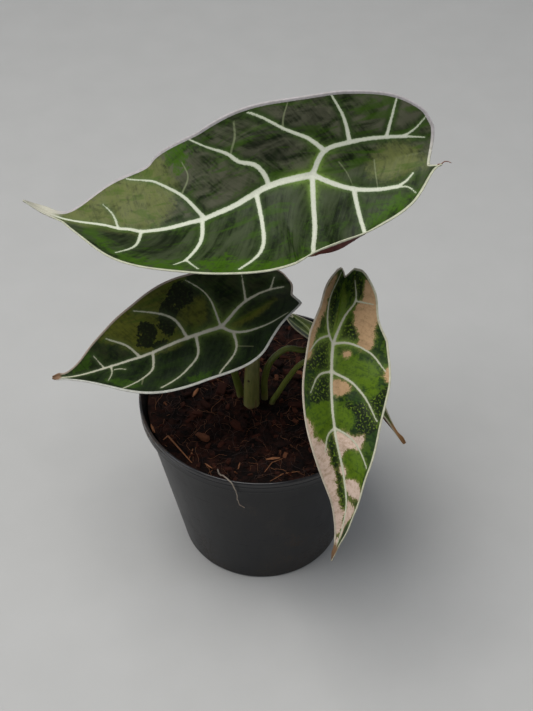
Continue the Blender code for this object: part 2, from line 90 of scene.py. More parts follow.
# %% Lights and surroundings
LIGHTS = [
    # name, place, size, watts, colour
    ("panel_above", (-0.25, -0.1, 1.25), (0.9, 0.7), 13.5, (1.0, 0.98, 0.95)),
    ("panel_left", (-1.1, -0.35, 0.55), (0.5, 0.9), 3.0, (0.9, 0.93, 1.0)),
    ("panel_right", (1.1, -0.1, 0.5), (0.4, 0.8), 2.0, (0.9, 0.93, 1.0)),
]
LIGHT_TARGET = (0.0, 0.0, 0.14)

for name, place, size, watts, colour in LIGHTS:
    light = bpy.data.lights.new(name, "AREA")
    light.shape = "RECTANGLE"
    light.size, light.size_y = size
    light.energy = watts
    light.color = colour
    lamp = bpy.data.objects.new(name, light)
    lamp.location = place
    away = np.array(place) - np.array(LIGHT_TARGET)
    lamp.rotation_euler = (math.atan2(math.hypot(away[0], away[1]), away[2]), 0, math.atan2(away[0], -away[1]))
    bpy.context.scene.collection.objects.link(lamp)

world = bpy.data.worlds.new("studio")
bpy.context.scene.world = world
world.use_nodes = True
world.node_tree.nodes["Background"].inputs["Color"].default_value = (0.82, 0.86, 0.92, 1.0)
world.node_tree.nodes["Background"].inputs["Strength"].default_value = 0.30
print(len(LIGHTS), "light panels")

# %% [markdown]
# ## Meshes from arrays
# Every new piece is worked out as arrays of points and put into its mesh in one go. Two kinds of surface are
# enough for the whole plant. A ring body is a row of rings with a point closing each end: the pot, the bark
# mix, stalks, fibres and bark chips are all of that kind. A blade is a sheet with two faces and a rounded
# edge. Both come out closed, with their faces pointing outwards.

# %% Mesh helpers
def make_object(name, points, faces, attributes=()):
    """An object from points in millimetres and arrays of equal-sided faces, with named values on its points."""
    mesh = bpy.data.meshes.new(name)
    mesh.vertices.add(len(points))
    mesh.vertices.foreach_set("co", (np.asarray(points, float) * MM).ravel())
    corners = np.concatenate([block.ravel() for block in faces])
    sizes = np.concatenate([np.full(len(block), block.shape[1]) for block in faces])
    mesh.loops.add(len(corners))
    mesh.loops.foreach_set("vertex_index", corners)
    mesh.polygons.add(len(sizes))
    mesh.polygons.foreach_set("loop_start", np.concatenate([[0], np.cumsum(sizes)[:-1]]))
    mesh.update(calc_edges=True)
    mesh.shade_smooth()
    for label, values in dict(attributes).items():
        kind, field = ("FLOAT", "value") if values.ndim == 1 else ("FLOAT_VECTOR", "vector")
        mesh.attributes.new(label, kind, "POINT").data.foreach_set(field, np.ascontiguousarray(values, np.float32).ravel())
    obj = bpy.data.objects.new(name, mesh)
    bpy.context.scene.collection.objects.link(obj)
    return obj


def ring_faces(rings, sides, copies=1):
    """Faces of bodies of rings x sides points followed by a start point and an end point, one after another."""
    ring, side = np.meshgrid(np.arange(rings - 1), np.arange(sides), indexing="ij")
    nxt = (side + 1) % sides
    quads = np.stack([ring * sides + side, ring * sides + nxt, (ring + 1) * sides + nxt, (ring + 1) * sides + side], -1)
    turn = np.arange(sides)
    after = (turn + 1) % sides
    start, end, last = rings * sides, rings * sides + 1, (rings - 1) * sides
    caps = np.concatenate([
        np.stack([np.full(sides, start), after, turn], -1),
        np.stack([np.full(sides, end), last + turn, last + after], -1)])
    shift = (np.arange(copies) * (rings * sides + 2))[:, None, None]
    return [(quads.reshape(1, -1, 4) + shift).reshape(-1, 4), (caps[None] + shift).reshape(-1, 3)]


def swept(path, radii, sides, hint, section=None):
    """Rings about a path: each point is the path's plus radius times cos and sin of the angle in its cross plane."""
    heading = np.gradient(path, axis=-2)
    heading /= np.linalg.norm(heading, axis=-1, keepdims=True)
    first = hint - heading * (heading * hint).sum(-1, keepdims=True)
    first /= np.linalg.norm(first, axis=-1, keepdims=True)
    second = np.cross(heading, first)
    angle = np.arange(sides) * 2 * math.pi / sides
    wide = radii[..., None] * (1 if section is None else section)
    rings = (path[..., None, :] + (wide * np.cos(angle))[..., None] * first[..., None, :]
             + (wide * np.sin(angle))[..., None] * second[..., None, :])
    flat_rings = rings.reshape(*path.shape[:-2], -1, 3)
    return np.concatenate([flat_rings, path[..., :1, :], path[..., -1:, :]], axis=-2)


def dressed(obj, slot, *nodes):
    """Hangs a finished piece on the plant's one body, hides the model's nodes that it stands for, and prints its size.
    The slot is not used.
    """
    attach(obj, "root")
    if nodes:
        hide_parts(*nodes)
    print(obj.name, len(obj.data.vertices), "points,", sum(len(p.vertices) - 2 for p in obj.data.polygons), "triangles")
    return obj


# %% Smooth curves and smooth chance
def spline(knots, values, at):
    """Smooth curve through values at rising knots: cubic pieces whose end slopes average their neighbours'."""
    knots = np.asarray(knots, float)
    values = np.asarray(values, float)
    single = values.ndim == 1
    if single:
        values = values[:, None]
    gap = np.diff(knots)[:, None]
    slope = np.diff(values, axis=0) / gap
    inner = (slope[1:] * gap[:-1] + slope[:-1] * gap[1:]) / (gap[1:] + gap[:-1])
    tangent = np.vstack([slope[:1], inner, slope[-1:]])
    at = np.clip(at, knots[0], knots[-1])
    i = np.clip(np.searchsorted(knots, at, side="right") - 1, 0, len(knots) - 2)
    g = gap[i]
    f = ((at - knots[i]) / g[..., 0])[..., None]
    ends = values[i] * (1 + 2 * f) * (1 - f) ** 2 + values[i + 1] * (3 - 2 * f) * f ** 2
    turns = g * tangent[i] * f * (1 - f) ** 2 - g * tangent[i + 1] * (1 - f) * f ** 2
    out = ends + turns
    return out[..., 0] if single else out


def lengths(points):
    """Distance along a row of points, from 0 at the first."""
    return np.concatenate([[0], np.cumsum(np.linalg.norm(np.diff(points, axis=0), axis=1))])


def curve_through(points, count):
    """That many points on the smooth curve through the given ones."""
    points = np.array(points, float)
    far = lengths(points)
    return spline(far, points, np.linspace(0, far[-1], count))


def chance(x, y, seed):
    """Smooth random heights from -1 to 1: a random number at each whole (x, y), blended by 3t^2 - 2t^3 between."""
    col, row = np.floor(x).astype(np.int64), np.floor(y).astype(np.int64)
    fx, fy = x - col, y - row
    fx, fy = fx * fx * (3 - 2 * fx), fy * fy * (3 - 2 * fy)

    def corner(dx, dy):
        mixed = (col + dx) * 374761393 + (row + dy) * 668265263 + seed * 982451653
        mixed = (mixed ^ (mixed >> 13)) * 1274126177
        return ((mixed ^ (mixed >> 16)) & 0xFFFF) / 32767.5 - 1

    near = corner(0, 0) * (1 - fx) + corner(1, 0) * fx
    far = corner(0, 1) * (1 - fx) + corner(1, 1) * fx
    return near * (1 - fy) + far * fy


def layers(x, y, seed, count=3):
    """Sum of count layers of smooth chance, each at twice the pitch and half the height of the one before."""
    return sum(chance(x * 2 ** k, y * 2 ** k, seed + k) / 2 ** k for k in range(count))


# %% [markdown]
# ## Shader maths as plain expressions
# A finish is a formula: how green, how pale, how rough at each place. Node trees hide that formula, so one
# small class wraps a socket and gives it the usual operators. `1 - mask` then adds a Subtract node. Values
# stay in Math nodes, and colours go through Mix nodes, because a Math node would turn them grey. Any other
# node comes from the one method that takes its type, its settings and its sockets.

# %% The wrapped socket
class Wire:
    """A node's output that arithmetic can be done on."""

    def __init__(self, paint, socket):
        self.paint = paint
        self.socket = socket

    def __add__(self, other):
        return self.paint.math("ADD", self, other)

    def __sub__(self, other):
        return self.paint.math("SUBTRACT", self, other)

    def __rsub__(self, other):
        return self.paint.math("SUBTRACT", other, self)

    def __mul__(self, other):
        return self.paint.math("MULTIPLY", self, other)

    def __truediv__(self, other):
        return self.paint.math("DIVIDE", self, other)

    def __pow__(self, other):
        return self.paint.math("POWER", self, other)

    __radd__ = __add__
    __rmul__ = __mul__


class Paint:
    """One finish: a material whose nodes are made by expressions."""

    def __init__(self, name, **constants):
        self.material = bpy.data.materials.new(name)
        self.material.use_nodes = True
        self.tree = self.material.node_tree
        self.shader = self.tree.nodes["Principled BSDF"]
        for socket, value in constants.items():
            self.shader.inputs[socket.replace("_", " ")].default_value = value

    def node(self, kind, settings=(), sockets=(), out=0):
        """Adds a node, sets its settings first and then its sockets to values or wires, and wraps one output."""
        made = self.tree.nodes.new("ShaderNode" + kind)
        for label, value in dict(settings).items():
            setattr(made, label, value)
        for key, value in dict(sockets).items():
            if isinstance(value, Wire):
                self.tree.links.new(value.socket, made.inputs[key])
            else:
                made.inputs[key].default_value = value
        return Wire(self, made.outputs[out])

    def math(self, operation, *values):
        return self.node("Math", {"operation": operation}, dict(enumerate(values)))

    def attribute(self, name, vector=False):
        return self.node("Attribute", {"attribute_name": name}, out="Vector" if vector else "Fac")

    def place(self):
        """Object coordinates, in metres."""
        return self.node("TexCoord", out="Object")

    def parts(self, vector):
        split = self.node("SeparateXYZ", sockets={0: vector}).socket.node
        return [Wire(self, socket) for socket in split.outputs]

    def vector(self, x, y, z=0.0):
        return self.node("CombineXYZ", sockets={0: x, 1: y, 2: z})

    def noise(self, vector, scale, detail=3.0, roughness=0.5, distortion=0.0):
        """Smooth noise, about 0.5 on average, with most of it between 0.3 and 0.7."""
        return self.node("TexNoise", sockets={
            "Vector": vector, "Scale": scale, "Detail": detail, "Roughness": roughness, "Distortion": distortion})

    def step(self, value, low, high):
        """0 below low, 1 above high, and a smooth rise between."""
        return self.node("MapRange", {"interpolation_type": "SMOOTHSTEP"}, {0: value, 1: low, 2: high})

    def mix(self, share, first, second):
        """The first colour where share is 0, the second where it is 1."""
        colour = {key: value if isinstance(value, Wire) else (*value, 1.0) for key, value in ((6, first), (7, second))}
        return self.node("Mix", {"data_type": "RGBA"}, {0: share, **colour}, out=2)

    def finish(self, colour, roughness, height=None, depth=0.2, strength=0.6, coat=None):
        """Links the colour, the roughness and a bump whose full height is depth millimetres."""
        self.tree.links.new(colour.socket, self.shader.inputs["Base Color"])
        if isinstance(roughness, Wire):
            self.tree.links.new(roughness.socket, self.shader.inputs["Roughness"])
        else:
            self.shader.inputs["Roughness"].default_value = roughness
        if coat:
            self.tree.links.new(coat.socket, self.shader.inputs["Coat Weight"])
        if height:
            bump = self.node("Bump", sockets={"Strength": strength, "Distance": depth * MM, "Height": height})
            self.tree.links.new(bump.socket, self.shader.inputs["Normal"])
        print("finish", self.material.name, "has", len(self.tree.nodes), "nodes")
        return self.material


# %% [markdown]
# ## The floor
# A plain pale sheet carries the pot. A real studio would use paper with a faint tooth, so the sheet has a
# little noise in its colour and no pattern. It isn't part of the plant.

# %% Floor
FLOOR_HALF = 3000.0

paper = Paint("paper")
grain = paper.noise(paper.place(), 35.0, detail=4.0)
paper.finish(paper.mix(grain, (0.43, 0.43, 0.42), (0.47, 0.47, 0.46)), 0.8)
corner = np.array([[-1, -1, 0], [1, -1, 0], [1, 1, 0], [-1, 1, 0]]) * FLOOR_HALF
floor = make_object("floor", corner, [np.arange(4)[None]])
floor.data.materials.append(paper.material)

# %% [markdown]
# ## The four leaves: their measures
# A blade is first described flat. Along the midrib, x runs from the stalk at 0 to the drip tip, and is
# negative towards the two back lobes. Across it, a is positive on the left, seen from above with the tip
# ahead. The flat blade is then carried along a midrib curve in space, with an angle for each half. The same
# few numbers as in the model are repeated here, so that the fine blade lies on the plain one.

# %% Blade measures
WIDTH_AT = np.array([-1.00, -0.93, -0.70, -0.35, 0.0, 0.25, 0.50, 0.70, 0.85, 0.94, 1.0])
ANGLE_AT = np.array([-1.0, -0.5, 0.0, 0.35, 0.7, 1.0])
VEIN_SINK = 0.8
VEIN_REACH = 3.2
RIPPLE = 0.7
RIPPLE_LENGTH = 34.0
HEADING_BLUR = 61

LEAVES = {
    "large": dict(
        midrib=[(70, 8, 232), (46, 4, 229), (22, 0, 226), (3, -3, 222), (-12, -8, 215), (-28, -11.5, 210),
                (-47, -13, 206), (-68, -9, 206), (-87, -4, 206), (-103, 4, 209)],
        junction=2, lobe=54, notch_aside=6.5, keel=2.6,
        left=[8.5, 10.5, 23.3, 30, 35, 40, 33, 23, 9.5, 2.6, 0.7],
        right=[10.5, 18.7, 27.2, 31.8, 33, 34.5, 33, 24.5, 7.5, 2.6, 0.7],
        roll=[-47, -48, -45, -28, -13, 10],
        fold_left=[28, 15, 8, 24, 32, 45], fold_right=[15, 17, 18, 17, 9, 0], cup_left=[37, 25, 16, 15, 5, 0],
        stalk=[(-5, -2, 78.4), (-5, -2, 89), (-4.6, -0.5, 108), (-3.5, 5, 130), (-1, 12, 155), (5, 15, 180),
               (14, 13, 206)],
        stalk_radius=(4.3, 2.2), run_in=8),
    "left": dict(
        midrib=[(14, -8, 165), (-3, -13, 160), (-18, -18, 155), (-33, -21, 151), (-50, -26, 146), (-69, -30, 141),
                (-85, -33, 138), (-94, -33, 137)],
        junction=2, lobe=37, notch_aside=0, keel=2.2,
        left=[9, 11, 15.5, 23.5, 25, 24.5, 22.5, 15, 6.5, 2, 0.6],
        right=[6.5, 14, 20, 23.5, 26.5, 26.5, 21.5, 13.5, 5.5, 1.8, 0.6],
        roll=[-14, -22, -31, -33, -24, -12],
        fold_left=[27, 24, 21, 24, 39, 55], fold_right=[1, 8, 16, 25, 34, 43], cup_left=[0, 0, 0, 0, 0, 0],
        stalk=[(-10.3, 3.2, 78.4), (-10.3, 3.2, 89), (-12, 1, 102), (-15, -6, 124), (-17, -11, 139)],
        stalk_radius=(2.2, 1.5), run_in=8),
    "right": dict(
        midrib=[(38, -3, 171), (35, -16, 162), (32, -30, 156), (31, -44, 149), (32, -65, 138), (36, -82, 125),
                (37, -90, 118), (36, -95, 111), (31, -103, 95)],
        junction=2, lobe=35, notch_aside=0, keel=2.2,
        left=[6.5, 13.5, 19, 20, 25, 27, 20, 11, 7, 2, 0.6],
        right=[4.5, 7.5, 12, 12.5, 14.5, 16, 12.5, 7.5, 3.5, 1.5, 0.6],
        roll=[3, 1, 2, 13, 29, 32],
        fold_left=[49, 27, 15, 20, 35, 38], fold_right=[65, 57, 50, 44, 34, 23], cup_left=[0, 0, 0, 0, 0, 0],
        stalk=[(5.2, -2, 78.4), (5.2, -2, 89), (8, -4.4, 98), (12.5, -7, 110.5), (18.5, -12, 125.5), (27, -20, 138)],
        stalk_radius=(1.5, 1.2), run_in=8),
    "back": dict(
        midrib=[(15, 14, 132), (21, 9, 129.5), (27, 4, 126), (38, -5.5, 118.5), (50, -18, 110.5), (59, -28, 105),
                (67, -38, 99)],
        junction=2, lobe=19, notch_aside=0, keel=1.8,
        left=[4, 7, 10, 12, 13, 12, 8, 4, 2, 1.2, 0.8], right=[4, 8, 12, 14, 14, 13, 10.5, 6, 2.5, 1.2, 0.8],
        roll=[-46, -42, -42, -40, -40, -38],
        fold_left=[10, 12, 15, 35, 60, 65], fold_right=[-8, -4, 4, 12, 20, 20], cup_left=[0, 0, 0, 0, 0, 0],
        stalk=[(1.6, 1.4, 78.4), (1.6, 1.4, 89), (1.8, 1.3, 104), (5, 1.8, 114.8), (12, 2.6, 121.5)],
        stalk_radius=(2.0, 1.4), run_in=3),
}

# %% [markdown]
# ## The veins
# The pale veins are what the plant is known for. Two of them run back from the stalk into the lobes, one runs
# forward to the tip, and the others leave these and thin out before the margin. They could be painted with
# noise, but each real leaf has its own few, so they are drawn as smooth curves through a few flat points, with
# a half width at each end.

# %% Vein routes: flat points, then the half width at the first and at the last of them
VEINS = {
    "large": [
        ([(0, 0), (45, 0), (95, 0), (133, 0)], 1.5, 0.4),
        ([(0, 0), (-7, -9), (-18, -10.6), (-33, -9.8), (-42, -8.3)], 1.2, 0.65),
        ([(-41, -8.5), (-46, -10.5), (-52, -15)], 0.45, 0.25), ([(-42, -8.3), (-50, -6.3)], 0.45, 0.25),
        ([(-18, -11), (-17, -21), (-13, -32)], 0.95, 0.35), ([(-34, -10), (-38, -19), (-42, -28)], 0.75, 0.3),
        ([(-7, -9), (-2, -15), (8, -22), (17, -32)], 1.0, 0.35), ([(8, -22), (7, -26), (4, -32)], 0.2, 0.02),
        ([(19, 0), (19, -5), (21, -11), (25, -15), (27, -20), (44, -34)], 1.0, 0.35),
        ([(26, -20), (23, -24), (21, -31)], 0.2, 0.02),
        ([(49.5, 0), (57, -13), (69, -21.5), (91, -24)], 0.9, 0.25), ([(57, -13), (51, -20), (52, -26)], 0.24, 0.08),
        ([(88, 0), (92, -6), (98, -11)], 0.55, 0.2), ([(-12, -3), (-14.5, 2), (-16, 8)], 0.1, -0.05),
        ([(-27, -1), (-26.5, 4), (-26, 11)], 0.12, 0.0),
        ([(0, 0), (-7, 5), (-17, 10), (-25, 12), (-34, 13)], 1.15, 0.8),
        ([(-34, 13), (-38, 11.5), (-42, 8.5)], 0.65, 0.35), ([(-34, 13), (-38.5, 14.5), (-40.5, 18.5)], 0.4, 0.25),
        ([(-16, 10), (-16, 21), (-16.5, 30)], 1.0, 0.8), ([(0, 0), (2.4, 13), (4.2, 24), (8.2, 36)], 1.15, 0.9),
        ([(25.3, 0), (29.5, 14), (35, 28), (43, 36)], 1.05, 0.45), ([(51, 0), (53.5, 13), (60, 25)], 0.95, 0.65),
        ([(60, 25), (64, 28)], 0.5, 0.25), ([(60, 25), (56, 33)], 0.4, 0.25),
        ([(78, 0), (78, 12), (83, 22)], 0.75, 0.3)],
    "left": [
        ([(0, 0), (30, 0), (60, 0), (80, 0)], 0.9, 0.35),
        ([(0, 0), (-15, -6), (-27, -7), (-33, -6)], 0.8, 0.35), ([(-27, -7), (-31, -12)], 0.35, 0.2),
        ([(0, 0), (-4, 5), (-19, 11), (-30, 11)], 0.75, 0.3), ([(-4, 6), (-3, 13), (6, 24)], 0.6, 0.3),
        ([(-3, 13), (-9, 18)], 0.12, 0.0), ([(0, 0), (1, -16), (9, -25)], 0.55, 0.2),
        ([(16, 0), (19, -11), (26, -17), (34, -21)], 0.65, 0.25), ([(39, 0), (43, -7), (51, -13)], 0.6, 0.3),
        ([(56, 0), (59, -7)], 0.35, 0.15), ([(-15, -6), (-18, -18)], 0.45, 0.2),
        ([(12, 0), (14, 11), (22, 16), (34, 21)], 0.7, 0.3), ([(33, 0), (36, 10), (40, 13), (49, 18)], 0.6, 0.25),
        ([(40, 13), (41, 17)], 0.2, 0.05), ([(53, 0), (53, 6), (55, 11)], 0.4, 0.2),
        ([(51.5, 3), (49, 3.6), (46.5, 5)], 0.35, 0.25)],
    "right": [
        ([(0, 0), (30, 0), (65, 0), (99, 0)], 0.85, 0.3),
        ([(0, 0), (-3, -3), (-20, -8), (-33, -4)], 0.65, 0.25),
        ([(0, 0), (-15, 4), (-21, 8), (-30, 7)], 0.7, 0.3), ([(-21, 8), (-19, 18)], 0.45, 0.2),
        ([(-3, -3), (1, -9), (8, -14)], 0.5, 0.2), ([(13, 0), (16, -7), (25, -12)], 0.55, 0.25),
        ([(39, 0), (42, -4), (49, -7)], 0.5, 0.25), ([(0, 0), (-0.5, 5), (5, 17), (16, 25)], 0.65, 0.25),
        ([(13, 0), (19, 9), (27, 15), (41, 21)], 0.65, 0.25), ([(39, 0), (44, 6), (59, 14)], 0.5, 0.3)],
    "back": [
        ([(0, 0), (30, 0), (62, 0)], 0.6, 0.3), ([(0, 0), (-8, -4), (-16, -5)], 0.5, 0.2),
        ([(0, 0), (-8, 4), (-16, 4)], 0.5, 0.2), ([(0, 0), (3, -7), (8, -12)], 0.4, 0.2),
        ([(0, 0), (3, 7), (8, 11)], 0.4, 0.2), ([(15, 0), (19, -6), (25, -10)], 0.4, 0.2),
        ([(15, 0), (19, 6), (25, 8)], 0.35, 0.2), ([(32, 0), (36, -5), (40, -7)], 0.3, 0.15)],
}
SUNK_FROM = 0.44
FAINT_BELOW = 0.25

print({name: len(routes) for name, routes in VEINS.items()}, "veins")

# %% [markdown]
# ## Patches of colour
# Three of the leaves are marbled: cream and pink where the cells have no green at all, lime where they have
# little, and near black where they have most. Each patch is an outline of a few flat points. On the blade it
# becomes a distance, positive inside, and the finish adds noise to that distance before it cuts the edge, so
# the border comes out as ragged as cells make it.

# %% Patch outlines, in flat millimetres
PATCHES = {
    "large": {
        "lime": [
            [(-21, 29), (-30, 25), (-38, 21), (-33, 18), (-24, 21), (-18, 26)],
            [(3, 40), (5, 36), (30, 37), (45, 28), (56, 27), (52, 37), (30, 42)],
            [(60, 34), (64, 27), (84, 21), (100, 6), (101, 9), (86, 22), (72, 30)],
            [(48, -33), (48, -26), (55, -22), (60, -28), (58, -34)]],
        "olive": [[(62, -32), (58, -22), (62, -10), (72, -1), (122, -1), (108, -10), (94, -24), (76, -33)],
                  [(-27, -3), (-44, -4), (-48, 5), (-40, 8), (-28, 8), (-24, 3)]],
        "dark": [[(98, 3), (84, 3), (64, 5), (62, 16), (68, 24), (74, 18), (84, 14), (94, 8)],
                 [(22, -14), (10, -8), (-4, -17), (-14, -24), (0, -30), (14, -26)]]},
    "left": {
        "olive": [
            [(55, -14), (46, -8), (38, -1), (16, 0), (12, -9), (10, -30), (30, -32), (45, -24)],
            [(9, -16), (3, -15), (5, -6), (13, -2)], [(0, 3), (-12, 0), (-28, -1), (-20, 3), (-7, 4)]],
        "dark": [
            [(33, -15), (29, -13), (28, -6), (32, -3), (37, -3), (38, -6), (36, -10)],
            [(17, -21), (22, -17), (26, -8), (23, -4), (18, -8)],
            [(15, -24), (8, -23), (8, -17), (14, -14), (18, -18)], [(32, -4), (26, -3), (26, 0), (31, 0)]],
        "lime": [[(70, -2), (60, -9), (62, -3)], [(56, 10), (47, 18), (41, 18), (48, 12)], [(23, 21), (9, 22), (14, 26)]]},
    "right": {
        "olive": [[(-28, 0), (-20, 2.5), (-12, 0.5), (-4, 2), (-3, 0), (-12, -1.5), (-20, 0)],
                  [(6, -14), (14, -13), (14, -10), (8, -10)]],
        "cream": [
            [(-30, 14), (-20, 21), (-8, 19), (4, 17), (2, 12), (-4, 12), (-9, 9), (-15, 8), (-20, 9), (-22, 12)],
            [(-31, -7), (-23, -12), (-8, -14), (11, -16), (11, -14), (4, -12), (-7, -10.5), (-19, -9)],
            [(18, 0), (18, 6), (21, 9), (25, 6), (24, 1)], [(4, 5), (4, 8), (7, 8), (6, 5)],
            [(14, 27), (15, 25), (20, 25), (23, 28)],
            [(44, -14), (45, -7), (50, -6), (60, -4), (70, -4), (78, -1), (88, -2), (78, -6), (60, -12)],
            [(36, -15), (38, -12), (45, -12), (44, -15)],
            [(40, 0), (44, 7), (47, 14), (51, 10), (49, 5), (52, 1), (46, 0)],
            [(63, 0), (65, 9), (70, 11), (69, 2)], [(72, 1), (74, 8), (81, 3), (92, -1), (80, 0)],
            [(55, -0.5), (57, 1.5), (60, 1.5), (60, -0.5)]],
        "lime": [
            [(-29, 0), (-18, 3), (-6, 3), (-3, 0), (-11, 0), (-22, -1)],
            [(31, -13), (27, -1), (38, -1), (44, -5), (46, -13)], [(26, 15), (24, 20), (27, 23), (29, 18)],
            [(28, 0), (32, 8), (40, 10), (41, 3), (37, 0)], [(6, 2), (8, 14), (18, 22), (24, 20), (20, 10), (12, 2)],
            [(51, 3), (51, 8), (62, 13), (66, 11), (63, 2)]],
        "dark": [
            [(-34, 6), (-31, 12), (-22, 12), (-22, 7), (-30, 5)], [(-33, -5), (-19, -4), (-4, -3), (-5, -7), (-24, -9)],
            [(-12, 4), (-9, 9), (-1, 10), (-2, 4)], [(1, -8), (0, -2), (11, -1), (13, -15), (7, -12)],
            [(18, -12), (17, -1), (26, -1), (28, -12)], [(29, 6), (31, 16), (24, 26), (38, 24), (46, 17), (42, 10), (36, 11)],
            [(43, -4), (43, 0), (60, -0.5), (84, -1), (72, -3), (60, -4), (50, -5)]]},
    "back": {
        "lime": [[(0, -3), (30, -3), (50, -3), (30, -6), (0, -8)], [(-10, 2), (10, 6), (30, 3), (8, 1)]],
        "dark": [[(-10, -8), (15, -10), (40, -6), (20, -13), (-8, -12)]]},
}
PATCH_KINDS = ("cream", "lime", "dark", "olive")
NO_PATCH = -9.0

print({name: sum(map(len, kinds.values())) for name, kinds in PATCHES.items()}, "patches")


# %% [markdown]
# ## The blade as a formula
# The midrib is a smooth curve. At every place on it there is a direction to the left and one upwards, turned
# about the midrib by the roll angle. Each half then leaves the midrib at its fold angle, and the left half may
# cup further up towards its margin. The crease between the halves is rounded, because a real midrib is a soft
# channel and not a fold in paper. Behind the stalk there is no midrib, so it is rounded much more there.

# %% Blade surface
CREASE_ROUND = 1.0
CREASE_ROUND_BACK = 3.5
CUP_STEPS = 16


class Blade:
    """A blade as a surface: row runs 0 (lobes) to 1 (tip), side runs -1 (right margin) to 1 (left).

    The midrib's direction is averaged over a short stretch, because a margin on the inside of a sudden bend
    would bunch up.
    """

    def __init__(self, leaf):
        self.leaf = leaf
        points = np.array(leaf["midrib"], float)
        knots = lengths(points)
        fine = np.linspace(0, knots[-1], 600)
        self.line = spline(knots, points, fine)
        run = lengths(self.line)
        self.notch = np.interp(knots[leaf["junction"]], fine, run)
        self.x = run - self.notch
        self.front = self.x[-1]
        blur = np.hanning(HEADING_BLUR)
        heading = np.pad(np.gradient(self.line, self.x, axis=0), ((HEADING_BLUR // 2, HEADING_BLUR // 2), (0, 0)), "edge")
        heading = np.stack([np.convolve(column, blur, "valid") for column in heading.T], -1)
        self.heading = heading / np.linalg.norm(heading, axis=1, keepdims=True)

    def flat(self, row, side):
        """Flat (x, a): a is the half width at the row times side, and x bends from the notch's row to the edge's."""
        even = np.linspace(0, 1, len(WIDTH_AT))
        share = spline(even, WIDTH_AT, row)
        left, right = spline(even, self.leaf["left"], row), spline(even, self.leaf["right"], row)
        width = np.where(side >= 0, left, right)
        edge = np.where(share >= 0, share * self.front, share * self.leaf["lobe"])
        middle = np.where(share >= 0, share * self.front, share * self.notch)
        aside = self.leaf["notch_aside"] * np.clip(-share, 0, 1) ** 3 * (1 - np.abs(side))
        return middle + (edge - middle) * np.sin(math.pi / 2 * np.abs(side)) ** 1.3, width * side + aside

    def angle(self, name, x):
        share = np.where(x >= 0, x / self.front, x / self.leaf["lobe"])
        return np.radians(spline(ANGLE_AT, self.leaf[name], share))

    def frame(self, x):
        """Point on the midrib at x, with the directions to the left and up there."""
        point = np.stack([np.interp(x, self.x, self.line[:, k]) for k in range(3)], -1)
        heading = np.stack([np.interp(x, self.x, self.heading[:, k]) for k in range(3)], -1)
        point = point + heading * np.minimum(x - self.x[0], 0)[..., None]
        level = np.cross([0, 0, 1.0], heading)
        level /= np.linalg.norm(level, axis=-1, keepdims=True)
        upright = np.cross(heading, level)
        roll = self.angle("roll", x)[..., None]
        left = level * np.cos(roll) + upright * np.sin(roll)
        up = upright * np.cos(roll) - level * np.sin(roll)
        return point, left, up

    def surface(self, x, a, side, relief):
        """Points in space: out from the midrib by a cos(slope) and up by a sin(slope) plus the relief."""
        point, left, up = self.frame(x)
        fold = np.where(a >= 0, self.angle("fold_left", x), self.angle("fold_right", x))
        cup = np.where(a >= 0, self.angle("cup_left", x), 0)
        steps = (np.arange(CUP_STEPS) + 0.5) / CUP_STEPS
        slope = fold[..., None] + cup[..., None] * (steps * np.abs(side)[..., None]) ** 3
        wide = CREASE_ROUND + (CREASE_ROUND_BACK - CREASE_ROUND) * np.clip(-x / 12, 0, 1)
        rounded = np.sqrt(a * a + wide ** 2 * np.exp(-(a / (1.5 * wide)) ** 2)) - CREASE_ROUND
        rise = rounded * np.sin(slope).mean(-1) + relief
        return point + left * (a * np.cos(slope).mean(-1))[..., None] + up * rise[..., None]

    def stalk_end(self):
        """The middle of the sunk junction over the stalk, and the blade's upward direction there."""
        point, _, up = self.frame(np.zeros(1))
        return point[0] - up[0] * VEIN_SINK, up[0]


BLADES = {name: Blade(leaf) for name, leaf in LEAVES.items()}
print({name: round(float(blade.front), 1) for name, blade in BLADES.items()}, "mm from stalk to tip")

# %% [markdown]
# ## Distances on the flat blade
# Three questions are asked of every point of a blade: how deep is it inside a vein, how far is it from the
# margin, and how deep is it inside a patch. All three are distances to straight pieces of a line, so one
# function answers them. It works through the points in blocks, because the whole table of every point against
# every piece would not fit in memory.

# %% Distance helpers
BLOCK = 6000
VEIN_PIECE = 1.2
VEIN_FILLET = 0.24


def to_pieces(points, route):
    """Distance from each flat point to each straight piece of a route, and the share along it at the nearest place."""
    start, run = route[:-1], np.diff(route, axis=0)
    away = points[:, None] - start[None]
    share = np.clip((away * run).sum(-1) / np.maximum((run * run).sum(-1), 1e-9), 0, 1)
    away -= share[..., None] * run
    return np.sqrt((away * away).sum(-1)), share


def by_blocks(work, points):
    """The work done on the points a block at a time."""
    return np.concatenate([work(points[i:i + BLOCK]) for i in range(0, len(points), BLOCK)])


def vein_depth(points, routes):
    """Half width minus distance for the nearest place of each vein, joined with soft fillets: k log(sum(exp(d / k)))."""
    total = np.zeros(len(points))
    for route, first, last in routes:
        count = max(3, int(lengths(np.array(route, float))[-1] / VEIN_PIECE))
        line = curve_through(route, count)

        def depth(block):
            near, share = to_pieces(block, line)
            along = (np.arange(count - 1) + share) / (count - 1)
            return (first + (last - first) * along - near).max(1)

        total += np.exp(np.clip(by_blocks(depth, points), -30 * VEIN_FILLET, 10) / VEIN_FILLET)
    return VEIN_FILLET * np.log(total + 1e-13)


